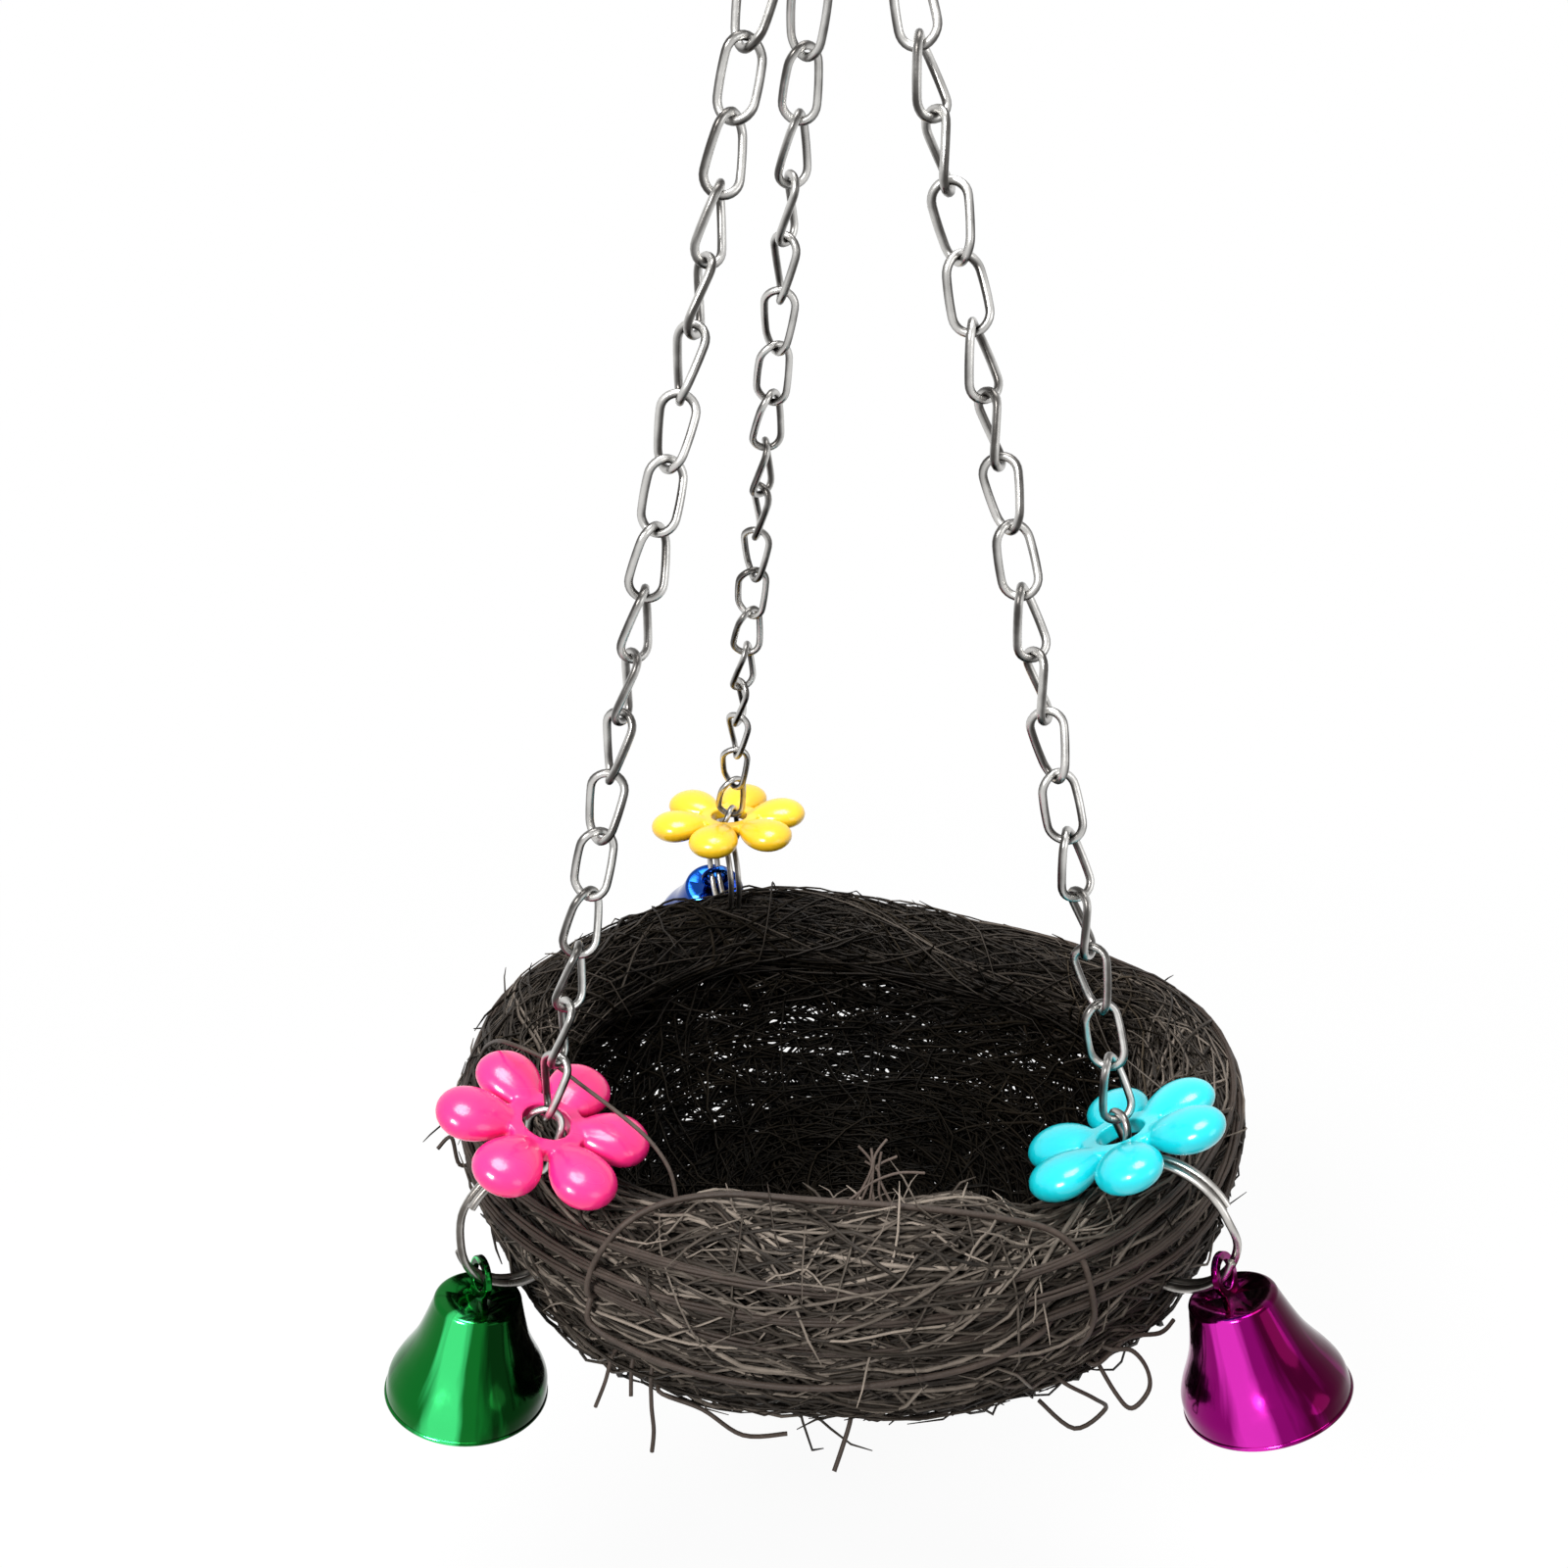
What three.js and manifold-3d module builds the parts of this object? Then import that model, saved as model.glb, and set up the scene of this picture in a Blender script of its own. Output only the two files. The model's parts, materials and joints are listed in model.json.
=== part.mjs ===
// Hanging nest swing: a fibre nest with a rolled rim, hung on three twisted-link chains.
// Each chain ends in a split ring through the rim, with a flower bead above it and a bell below.
// Millimetres, +Z up, the front towards -Y. The origin is the point that the quick link hangs from.
import * as THREE from 'three';
import { mergeVertices } from 'three/addons/utils/BufferGeometryUtils.js';
import Module from 'manifold-3d';

const wasm = await Module();
wasm.setup();

// Fits
const clearance = 0.3;        // between pieces that touch
const weld = 0.2;             // bite of the two links of a pair into each other
const up = new THREE.Vector3(0, 0, 1);

// Chain of twisted links
const linkPitch = 10.9;       // from one link to the next
const linkCount = 22;         // links in each chain, an even number
const linkWire = 1.5;
const linkSeat = 0.75;        // how deep a split ring lies in the round of a link's end
const linkTwist = 60;         // degrees, from end to end
const linkSides = 5;
const linkArcSteps = 4;       // steps round each end of a link
const linkLegSteps = 1;       // steps along each leg of a link

// Top ring and quick link
const topRingRadius = 9;      // to the middle of the wire
const topRingWire = 2.6;
const topRingSpacing = 4.87;  // between neighbouring chains, along the wire
const topRingPlay = 0.65;     // room for the chains to rock on the ring
const quickWire = 3.4;
const quickWidth = 13;        // between the middles of the legs
const quickHeight = 36;       // between the middles of the ends
const quickGap = 4;           // opening in one leg
const nutGrip = 2;            // of the nut on each side of the opening
const nutWall = 1.5;          // at the middle of a flat
const quickSides = 8;
const ringSegments = 24;
const ringSides = 6;
const quickSteps = 26;

// Split rings
const splitRadius = 13;       // to the middle of the wire
const splitWire = 1.5;
const splitGap = 0.5;         // between the two turns
const splitKink = 34;         // degrees over which the wire steps from one turn to the other
const splitKinkAt = 15;       // degrees, where it steps over
const splitEndGap = 6;        // degrees between an end and the kink
const splitLoops = 2;
const splitSteps = 40;
const splitSides = 6;
const tunnelRoom = 1.3;       // round a ring, where it goes through the fibres

// Nest
const nestShiftX = 4.4;       // from the point under the top ring, before the swing finds its balance
const nestShiftY = 16.5;
const hangTurn = -2.7;        // degrees about the top ring's wire, at which the swing hangs in balance
const rimDrop = 0.7;          // of the rim's top, where it is highest, below the chains' ends
const nestRadius = 83.5;      // outside
const nestDepth = 54;         // from the middle of the rolled rim to the underside
const nestRoundness = 2.33;   // exponent of the bowl's curve
const rollRadius = 10;        // half the thickness of the rolled rim
const wallThickness = 7;      // outer bowl
const liningThickness = 3;
const collarHeight = 6;       // how far below the roll's middle the bowl's edge ends
const rimTilt = 3.3;          // front above the middle, back below it
const sagAt = 58;             // degrees, where the rim sags between the right and back chains
const sagSpan = 60;           // degrees to each side
const sagDepth = 5;
const sagDraw = 5;            // and is drawn in there
const bowlRidge = 2.4;        // height of the ridges where strands bunch and run round the bowl
const bowlRidges = 10;
const liningRidge = 1.8;
const liningRidges = 8;
const ridgeWander = 6;        // of the ridges up and down the wall
const ridgeWaves = 3;         // in a turn
const nestSegments = 30;
const wallSteps = 6;
const seatSteps = 3;
const rollSteps = 10;

// Strand wound round the rolled rim
const strandRadius = 0.9;
const strandLoops = 3;
const strandStart = 60;       // degrees round the nest, where its ends are
const strandFrom = -25;       // degrees on the roll, from its outer side
const strandTo = 47;
const strandLoopSteps = 23;
const strandSides = 6;
const measureSteps = 96;      // per loop, where a wound wire's gap to itself is measured

// Flower beads
const flowerRadius = 20;
const flowerPlay = 1.2;       // round the chain
const hubWidth = 2.6;         // material round the hole
const hubThickness = 2.8;
const petalCount = 6;
const petalBite = 0.6;        // of a petal's inner end past the wall of the hole
const petalWidth = 12.6;
const petalThickness = 7.4;
const petalColumns = 8;
const petalRows = 4;
const hubSegments = 12;

// Bells
const bellMouth = 30.4;
const bellCrown = 16.4;
const bellHeight = 20.5;
const bellWall = 0.9;
const bellTaper = 0.3;        // share of the flare that the straight flank has
const bellWaist = 0.35;       // where the skirt begins to swell, down the height
const bellHip = 0.92;         // where it has swollen
const bellLip = 0.3;          // how far the rolled mouth stands out
const bellLipHeight = 0.9;
const bellShoulder = 1.2;     // rounding of the crown's edge
const bellSegments = 18;
const bellSteps = 6;
const earSteps = 4;           // steps in a quarter of the ear's head
const earPlay = 0.6;          // round a split ring
const earRim = 1.5;           // material round the hole
const earThickness = 1.2;
const earStrip = 5.6;         // width of the strip below the ear
const earNeck = 0.2;          // from the crown to the ear's head
const earTail = 3.6;          // strip below the crown's underside
const tailRim = 0.65;         // material below the clapper's hole
const eyePlay = 0.5;          // round the clapper's eye in its hole
const eyeRoom = 0.65;         // from the eye to the strip
const eyeWire = 0.9;
const stemWire = 1.2;
const stemLength = 4.5;
const ballRadius = 3;
const ballColumns = 8;
const ballRows = 5;
const eyeSteps = 10;

// Where the chains come down: left and right in front, one at the back. Angles in degrees,
// azimuths from +X. A chain ends so far out from the rim's middle line. The lay is the turn of each
// link against the one above it, and the room is what is left under a flower. A flower's axis tilts
// outwards and sways along the rim, and its turn is that of its petals.
const footHeight = 1.0;       // of a ring's wire under the chain
const stations = [
  { name: 'left', azimuth: 212.9, footOut: 6, spread: -1, lay: -31, ringLean: 17, hook: -42,
    flowerRoom: 2.9, flowerTilt: -17, flowerSway: 14, flowerTurn: -25, bellLean: 12 },
  { name: 'right', azimuth: 324, footOut: 0.4, spread: 1, lay: -47, ringLean: 40, hook: -27,
    flowerRoom: 1.2, flowerTilt: -30, flowerSway: 0, flowerTurn: 0, bellLean: 25 },
  { name: 'back', azimuth: 105.4, footOut: 3, spread: 0, lay: -31, ringLean: 25, hook: -35,
    flowerRoom: 2.9, flowerTilt: 0, flowerSway: 0, flowerTurn: 30, bellLean: 27 },
];

// Materials
const looks = {
  steel: { color: 0xb9bcc0, roughness: 0.28, metalness: 1 },
  bowl: { color: 0x4a3226, roughness: 0.9, metalness: 0 },
  lining: { color: 0x5a3f2e, roughness: 0.95, metalness: 0 },
  strand: { color: 0x3a2620, roughness: 0.8, metalness: 0 },
  brass: { color: 0xb08d4f, roughness: 0.35, metalness: 1 },
};
const flowerColours = { left: 0xf01f78, right: 0x18b9cf, back: 0xf5c51e };
const bellColours = { left: 0x1f8f4a, right: 0xb0268f, back: 0x2c55b8 };

function material(look) {
  return new THREE.MeshStandardMaterial(look);
}

const rad = THREE.MathUtils.degToRad;
const deg = THREE.MathUtils.radToDeg;

// A closed geometry as a solid that can be cut and joined.
function solid(geometry) {
  const bare = geometry.clone();
  bare.deleteAttribute('normal');
  bare.deleteAttribute('uv');
  const merged = mergeVertices(bare, 1e-4);
  return new wasm.Manifold(new wasm.Mesh({
    numProp: 3,
    vertProperties: new Float32Array(merged.attributes.position.array),
    triVerts: new Uint32Array(merged.index.array),
  }));
}

// A solid back as a geometry.
function shapeOf(body) {
  const mesh = body.getMesh();
  const geometry = new THREE.BufferGeometry();
  geometry.setAttribute('position', new THREE.BufferAttribute(mesh.vertProperties, 3));
  geometry.setIndex(new THREE.BufferAttribute(mesh.triVerts, 1));
  geometry.computeVertexNormals();
  return geometry;
}

function piece(name, geometry, look) {
  const mesh = new THREE.Mesh(geometry, material(look));
  mesh.name = name;
  return mesh;
}

// A regular section for a wire.
function section(radius, sides) {
  const corners = [];
  for (let i = 0; i < sides; i += 1) {
    const angle = (2 * Math.PI * i) / sides;
    corners.push(new THREE.Vector2(radius * Math.cos(angle), radius * Math.sin(angle)));
  }
  return new THREE.Shape(corners);
}

// A revolved profile about +Z; the profile's points hold a radius and a height.
function revolve(profile, segments) {
  const geometry = new THREE.LatheGeometry(profile, segments);
  geometry.rotateX(Math.PI / 2);
  return geometry;
}

// A curve given by a function, stepped evenly in its own parameter.
class Route extends THREE.Curve {
  constructor(at) {
    super();
    this.at = at;
  }

  getPoint(u, target = new THREE.Vector3()) {
    return target.copy(this.at(u));
  }

  getPointAt(u, target) {
    return this.getPoint(u, target);
  }

  getTangentAt(u, target) {
    return this.getTangent(u, target);
  }
}

// The split ring's two turns, and what they pass through
const splitRise = splitWire + splitGap;
const splitReach = Math.hypot((splitRise + splitWire) / 2, splitWire / 2);
const tunnelRadius = splitReach + tunnelRoom;
const endRadius = (linkWire + splitWire) / 2 + Math.hypot(splitRise / 2, linkSeat) + clearance;
const flowerHole = 2 * endRadius + linkWire + 2 * flowerPlay;
const earHole = 2 * (splitReach + earPlay);
const earRadius = earHole / 2 + earRim;
const earRise = earRadius + earNeck;

// The nest's rim, and the frame of a station: outwards to the chain's end, and along the rim
const rollCentre = nestRadius - rollRadius;
const nestCentre = new THREE.Vector3(nestShiftX, nestShiftY, -rollRadius - rimTilt - rimDrop);

function stationFrame(station) {
  const angle = rad(station.azimuth);
  const out = new THREE.Vector3(Math.cos(angle), Math.sin(angle), 0);
  const along = new THREE.Vector3().crossVectors(up, out);
  const reach = out.x * nestShiftX + out.y * nestShiftY;
  const aside = along.x * nestShiftX + along.y * nestShiftY;
  const foot = reach + Math.sqrt(rollCentre ** 2 - aside ** 2) + station.footOut;
  return { out, along, foot };
}

// Heights that follow from the chain's length
const linkLength = linkPitch + linkWire;
const pairs = linkCount / 2;
const pairStep = linkPitch + weld;
const nextStep = linkPitch - clearance;
const topSeat = topRingWire / 2 + linkWire / 2 + topRingPlay;
const footSeat = endRadius - linkSeat;
const chainRun = pairs * pairStep + (pairs - 1) * nextStep + linkLength - topSeat - footSeat;
const topHeight = footHeight + Math.sqrt(chainRun ** 2 - stationFrame(stations[0]).foot ** 2);
const quickSeat = topRingWire / 2 + quickWire / 2 + clearance;
const quickBottom = topHeight + 2 * topRingRadius - quickSeat;
const hangHeight = quickBottom + quickHeight - quickWire / 2;

// Where each chain hooks on to the top ring, and where its split ring is.
function anchors(station) {
  const { out, along, foot: footReach } = stationFrame(station);
  const angle = (station.spread * topRingSpacing) / topRingRadius;
  const rise = topRingRadius * (1 - Math.cos(angle));
  const top = new THREE.Vector3(topRingRadius * Math.sin(angle), 0, topHeight + rise);
  const foot = out.clone().multiplyScalar(footReach);
  const level = Math.hypot(foot.x - top.x, foot.y - top.y);
  foot.z = top.z - Math.sqrt(chainRun ** 2 - level ** 2);
  const lean = rad(station.ringLean);
  const ring = foot.clone();
  ring.addScaledVector(out, splitRadius * Math.sin(lean));
  ring.addScaledVector(up, -splitRadius * Math.cos(lean));
  const down = foot.clone().sub(top).normalize();
  const wireAtTop = new THREE.Vector3(Math.cos(angle), 0, Math.sin(angle));
  return { out, along, top, foot, ring, down, wireAtTop };
}

// One closed link, twisted about its length, which lies along Z.
function linkGeometry() {
  const leg = linkLength - 2 * endRadius;
  const steps = 2 * (linkArcSteps + linkLegSteps);
  const arcShare = linkArcSteps / steps;
  const half = arcShare + linkLegSteps / steps;
  const route = new Route((u) => {
    const side = u < half ? 1 : -1;
    const v = u < half ? u : u - half;
    let across = endRadius;
    let height = leg / 2;
    if (v < arcShare) {
      const turn = (Math.PI * v) / arcShare;
      across = -endRadius * Math.cos(turn);
      height += endRadius * Math.sin(turn);
    } else {
      height -= (leg * (v - arcShare)) / (half - arcShare);
    }
    const twist = (rad(linkTwist) * side * height) / linkLength;
    const reach = side * across;
    return new THREE.Vector3(reach * Math.cos(twist), reach * Math.sin(twist), side * height);
  });
  return new THREE.TubeGeometry(route, steps, linkWire / 2, linkSides, true);
}

// A chain: pairs of links on a line that runs down from the top ring to the split ring.
function chain(station) {
  const { along, top, down, wireAtTop } = anchors(station);
  const across = new THREE.Vector3().crossVectors(down, wireAtTop).normalize();
  const third = new THREE.Vector3().crossVectors(down, across);
  const footAngle = deg(Math.atan2(along.dot(third), along.dot(across)));
  const steps = linkCount - 1;
  const halfTurns = Math.round((steps * station.lay - footAngle + linkTwist) / 180);
  const lay = (footAngle - linkTwist + 180 * halfTurns) / steps;
  const link = linkGeometry();
  const lower = link.clone().rotateZ(rad(lay)).translate(0, 0, pairStep);
  const pair = shapeOf(solid(link).add(solid(lower)));
  const group = new THREE.Group();
  group.applyMatrix4(new THREE.Matrix4().makeBasis(across, third, down).setPosition(top));
  for (let i = 0; i < pairs; i += 1) {
    const number = String(i + 1).padStart(2, '0');
    const mesh = piece(`chain_${station.name}_${number}`, pair, looks.steel);
    mesh.position.z = linkLength / 2 - topSeat + i * (pairStep + nextStep);
    mesh.rotation.z = rad(linkTwist / 2 + 2 * i * lay);
    group.add(mesh);
  }
  return group;
}

// Welded ring that gathers the three chains, in the plane of X and Z.
function topRing() {
  const geometry = new THREE.TorusGeometry(topRingRadius, topRingWire / 2, ringSides, ringSegments);
  const mesh = piece('top_ring', geometry, looks.steel);
  mesh.rotation.x = Math.PI / 2;
  mesh.position.z = topHeight + topRingRadius;
  return mesh;
}

// Quick link in the plane of Y and Z, open in its rear leg where the sleeve nut closes it.
function quickLink() {
  const bend = quickWidth / 2;
  const leg = quickHeight - quickWidth;
  const stub = (leg - quickGap) / 2;
  const arc = Math.PI * bend;
  const total = 2 * stub + 2 * arc + leg;
  const route = new Route((u) => {
    let s = u * total;
    if (s < stub) return new THREE.Vector3(0, bend, quickGap / 2 + s);
    s -= stub;
    if (s < arc) {
      const turn = s / bend;
      return new THREE.Vector3(0, bend * Math.cos(turn), leg / 2 + bend * Math.sin(turn));
    }
    s -= arc;
    if (s < leg) return new THREE.Vector3(0, -bend, leg / 2 - s);
    s -= leg;
    if (s < arc) {
      const turn = Math.PI + s / bend;
      return new THREE.Vector3(0, bend * Math.cos(turn), -leg / 2 + bend * Math.sin(turn));
    }
    return new THREE.Vector3(0, bend, s - arc - leg / 2);
  });
  const wire = section(quickWire / 2, quickSides);
  const options = { steps: quickSteps, extrudePath: route, bevelEnabled: false };
  const mesh = piece('quick_link', new THREE.ExtrudeGeometry(wire, options), looks.steel);
  mesh.position.z = quickBottom + quickHeight / 2;
  return mesh;
}

function quickNut() {
  const boreRadius = quickWire / 2 + clearance;
  const nutLength = quickGap + 2 * nutGrip;
  const hex = section((boreRadius + nutWall) / Math.cos(Math.PI / 6), 6);
  const bore = new THREE.Path();
  bore.absarc(0, 0, boreRadius, 0, 2 * Math.PI, true);
  hex.holes.push(bore);
  const options = { depth: nutLength, bevelEnabled: false, curveSegments: quickSides };
  const mesh = piece('quick_nut', new THREE.ExtrudeGeometry(hex, options), looks.steel);
  mesh.position.set(0, quickWidth / 2, quickBottom + quickHeight / 2 - nutLength / 2);
  return mesh;
}

// Two flat turns of one wire, which steps over from the first turn to the second.
const splitStart = splitKink / 2 + splitEndGap;

function splitPoint(u) {
  const turned = splitStart + u * (360 * splitLoops - 2 * splitStart);
  const step = THREE.MathUtils.smoothstep(turned, 360 - splitKink / 2, 360 + splitKink / 2);
  const angle = rad(splitKinkAt + turned);
  const lift = splitRise * (step - 0.5);
  return new THREE.Vector3(splitRadius * Math.cos(angle), splitRadius * Math.sin(angle), lift);
}

// Least gap of a wound wire to itself, measured on its middle line from half a loop on.
function selfGap(at, loops, radius) {
  const points = loops * measureSteps;
  const line = [];
  for (let i = 0; i <= points; i += 1) line.push(at(i / points));
  let least = Infinity;
  for (let i = 0; i <= points; i += 1) {
    for (let j = i + measureSteps / 2; j <= points; j += 1) {
      least = Math.min(least, line[i].distanceTo(line[j]));
    }
  }
  return least - 2 * radius;
}

function ringMatrix(station) {
  const { out, along, ring } = anchors(station);
  return new THREE.Matrix4().makeBasis(out, up, along.clone().negate()).setPosition(ring);
}

function splitRing(station) {
  const wire = section(splitWire / 2, splitSides);
  const options = { steps: splitSteps, extrudePath: new Route(splitPoint), bevelEnabled: false };
  const mesh = piece(`split_ring_${station.name}`, new THREE.ExtrudeGeometry(wire, options), looks.steel);
  mesh.applyMatrix4(ringMatrix(station));
  return mesh;
}

// The hole that a split ring takes through the nest.
function tunnel(station) {
  const geometry = new THREE.TorusGeometry(splitRadius, tunnelRadius, ringSides, ringSegments);
  geometry.applyMatrix4(ringMatrix(station));
  return solid(geometry);
}

// Handmade outline of the nest: the rim tilts a little, and sags and draws in between two chains.
function settle(point) {
  const angle = Math.atan2(point.y, point.x);
  const share = THREE.MathUtils.clamp(1 + point.z / nestDepth, 0, 1);
  const away = Math.min(1, Math.abs(deg(angle) - sagAt) / sagSpan);
  const sag = Math.cos((Math.PI / 2) * away) ** 2;
  const draw = 1 - (share * sag * sagDraw) / nestRadius;
  const sink = rimTilt * Math.sin(angle) + sagDepth * sag;
  const reach = Math.hypot(point.x, point.y) / nestRadius;
  const wander = ridgeWander * reach * (1 - share) * Math.sin(ridgeWaves * angle);
  const height = point.z - share * sink + wander;
  return new THREE.Vector3(point.x * draw, point.y * draw, height).add(nestCentre);
}

function settled(geometry) {
  const places = geometry.attributes.position;
  for (let i = 0; i < places.count; i += 1) {
    const point = settle(new THREE.Vector3().fromBufferAttribute(places, i));
    places.setXYZ(i, point.x, point.y, point.z);
  }
  return geometry;
}

// Half a bowl's curve, from the axis at the bottom out and up to a height below the roll's middle.
// Every other point stands out by the height of a ridge.
function bowlCurve(radius, depth, top, steps, ridge) {
  const power = 2 / nestRoundness;
  const end = Math.asin((-top / depth) ** (1 / power));
  const points = [];
  for (let i = 0; i <= steps; i += 1) {
    const angle = Math.PI / 2 + ((end - Math.PI / 2) * i) / steps;
    const stand = (i % 2) * ridge;
    const reach = i === 0 ? 0 : (radius + stand) * Math.cos(angle) ** power;
    points.push(new THREE.Vector2(reach, -(depth + stand) * Math.sin(angle) ** power));
  }
  return points;
}

const seatRadius = rollRadius + clearance;
const liningInset = wallThickness + clearance;

// Outer bowl, whose edge holds the rolled rim in a hollow.
function nestBowl(cuts) {
  const valley = nestRadius - bowlRidge;
  const outer = bowlCurve(valley, nestDepth - bowlRidge, -collarHeight, 2 * bowlRidges - 1, bowlRidge);
  const inner = bowlCurve(nestRadius - wallThickness, nestDepth - wallThickness, -seatRadius, wallSteps, 0);
  const seatFrom = -Math.asin(collarHeight / seatRadius);
  const seat = [];
  for (let i = 0; i <= seatSteps; i += 1) {
    const angle = seatFrom + ((-Math.PI / 2 - seatFrom) * i) / seatSteps;
    seat.push(new THREE.Vector2(rollCentre + seatRadius * Math.cos(angle), seatRadius * Math.sin(angle)));
  }
  const edge = inner.filter((point) => point.x < rollCentre);
  const profile = [...outer, ...seat, ...edge.reverse()];
  return shapeOf(solid(settled(revolve(profile, nestSegments))).subtract(cuts));
}

// Inner lining of finer fibre.
function nestLining(cuts) {
  const top = -seatRadius - clearance;
  const outer = bowlCurve(rollCentre - clearance, nestDepth - liningInset, top, wallSteps, 0);
  const inset = liningInset + liningThickness;
  const valley = rollCentre - clearance - liningThickness;
  const inner = bowlCurve(valley, nestDepth - inset, top, 2 * liningRidges, -liningRidge);
  const profile = [...outer, ...inner.reverse()];
  return shapeOf(solid(settled(revolve(profile, nestSegments))).subtract(cuts));
}

function nestRim(cuts) {
  const profile = [];
  for (let i = 0; i <= rollSteps; i += 1) {
    const angle = (2 * Math.PI * (i % rollSteps)) / rollSteps;
    profile.push(new THREE.Vector2(rollCentre + rollRadius * Math.cos(angle), rollRadius * Math.sin(angle)));
  }
  return shapeOf(solid(settled(revolve(profile, nestSegments))).subtract(cuts));
}

// Strand wound round the rim, which climbs the roll a little with each loop.
function strandPoint(u) {
  const angle = rad(strandStart) + 2 * Math.PI * strandLoops * u;
  const climb = rad(strandFrom + (strandTo - strandFrom) * u);
  const off = rollRadius + clearance + strandRadius;
  const reach = (rollCentre + off * Math.cos(climb)) / Math.cos(Math.PI / strandLoopSteps);
  return settle(new THREE.Vector3(reach * Math.cos(angle), reach * Math.sin(angle), off * Math.sin(climb)));
}

function nestStrand() {
  const options = {
    steps: strandLoops * strandLoopSteps,
    extrudePath: new Route(strandPoint),
    bevelEnabled: false,
  };
  return new THREE.ExtrudeGeometry(section(strandRadius, strandSides), options);
}

function nest() {
  const cuts = stations.map(tunnel).reduce((sum, cut) => sum.add(cut));
  const group = new THREE.Group();
  group.add(piece('nest_bowl', nestBowl(cuts), looks.bowl));
  group.add(piece('nest_lining', nestLining(cuts), looks.lining));
  group.add(piece('nest_rim', nestRim(cuts), looks.bowl));
  group.add(piece('rim_strand', nestStrand(), looks.strand));
  return group;
}

// Flower bead: fat petals round a hub with a hole for the chain.
function flowerGeometry() {
  const holeRadius = flowerHole / 2;
  const hub = new THREE.CylinderGeometry(
    holeRadius + hubWidth, holeRadius + hubWidth, hubThickness, hubSegments,
  ).rotateX(Math.PI / 2);
  let body = solid(hub);
  const petalLength = flowerRadius - holeRadius + petalBite;
  const petal = new THREE.SphereGeometry(0.5, petalColumns, petalRows);
  petal.scale(petalLength, petalWidth, petalThickness);
  petal.translate(flowerRadius - petalLength / 2, 0, 0);
  for (let i = 0; i < petalCount; i += 1) {
    body = body.add(solid(petal.clone().rotateZ((2 * Math.PI * i) / petalCount)));
  }
  const hole = new THREE.CylinderGeometry(holeRadius, holeRadius, 2 * petalThickness, hubSegments);
  return shapeOf(body.subtract(solid(hole.rotateX(Math.PI / 2))));
}

function flower(station) {
  const { out, along, foot, down } = anchors(station);
  const tilt = rad(station.flowerTilt);
  const sway = rad(station.flowerSway);
  const axis = up.clone().multiplyScalar(Math.cos(tilt)).addScaledVector(out, Math.sin(tilt));
  axis.multiplyScalar(Math.cos(sway)).addScaledVector(along, Math.sin(sway));
  const side = new THREE.Vector3().crossVectors(axis, out).normalize();
  const front = new THREE.Vector3().crossVectors(side, axis);
  const place = foot.clone().addScaledVector(down, -station.flowerRoom - petalThickness / 2);
  const look = { color: flowerColours[station.name], roughness: 0.25, metalness: 0 };
  const mesh = piece(`flower_${station.name}`, flowerGeometry(), look);
  mesh.applyMatrix4(new THREE.Matrix4().makeBasis(front, side, axis).setPosition(place));
  mesh.rotateZ(rad(station.flowerTurn));
  return mesh;
}

// Bell: a turned cup with a flat crown, a tapered flank that swells into a skirt and a rolled lip,
// slotted for its ear.
function bellGeometry() {
  const crown = bellCrown / 2;
  const mouth = bellMouth / 2;
  const swell = (t) => THREE.MathUtils.smoothstep(t, bellWaist, bellHip);
  const flank = (t) => crown + (mouth - crown) * (bellTaper * t + (1 - bellTaper) * swell(t));
  const fall = (t) => -earRise - bellShoulder - (bellHeight - bellShoulder) * t;
  const inner = [new THREE.Vector2(0, -earRise - bellWall)];
  const outer = [];
  for (let i = 0; i <= bellSteps; i += 1) {
    const t = i / bellSteps;
    inner.push(new THREE.Vector2(flank(t) - bellWall, Math.min(fall(t), -earRise - bellWall)));
    outer.unshift(new THREE.Vector2(flank(t), fall(t)));
  }
  const lip = outer[0];
  outer.unshift(new THREE.Vector2(lip.x - bellWall / 2, lip.y - bellLipHeight / 2));
  lip.add(new THREE.Vector2(bellLip, bellLipHeight / 2));
  outer.push(new THREE.Vector2(crown - bellShoulder, -earRise), new THREE.Vector2(0, -earRise));
  const cup = revolve([...inner, ...outer], bellSegments);
  const slot = new THREE.BoxGeometry(
    earThickness + 2 * clearance, earStrip + 2 * clearance, 2 * (bellWall + clearance),
  );
  slot.translate(0, 0, -earRise);
  return shapeOf(solid(cup).subtract(solid(slot)));
}

// Ear: a strip through the crown's slot, with a round head that hangs on the split ring.
const tailEnd = earRise + bellWall + earTail;
const clapperHole = eyeWire + 2 * eyePlay;
const clapperPivot = tailEnd - tailRim - clapperHole / 2;
const eyeRadius = (earThickness + eyeWire) / 2 + eyeRoom;

function earGeometry() {
  const half = earStrip / 2;
  const shoulder = Math.acos(half / earRadius);
  const outline = new THREE.Shape();
  outline.moveTo(-half, -tailEnd);
  outline.lineTo(half, -tailEnd);
  outline.absarc(0, 0, earRadius, -shoulder, Math.PI + shoulder, false);
  const hole = new THREE.Path();
  hole.absarc(0, 0, earHole / 2, 0, 2 * Math.PI, true);
  const eyeHole = new THREE.Path();
  eyeHole.absarc(0, -clapperPivot, clapperHole / 2, 0, 2 * Math.PI, true);
  outline.holes.push(hole, eyeHole);
  const options = { depth: earThickness, bevelEnabled: false, curveSegments: earSteps };
  const geometry = new THREE.ExtrudeGeometry(outline, options);
  geometry.translate(0, 0, -earThickness / 2);
  const axes = [new THREE.Vector3(0, 1, 0), new THREE.Vector3(0, 0, 1), new THREE.Vector3(1, 0, 0)];
  return geometry.applyMatrix4(new THREE.Matrix4().makeBasis(...axes));
}

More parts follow.
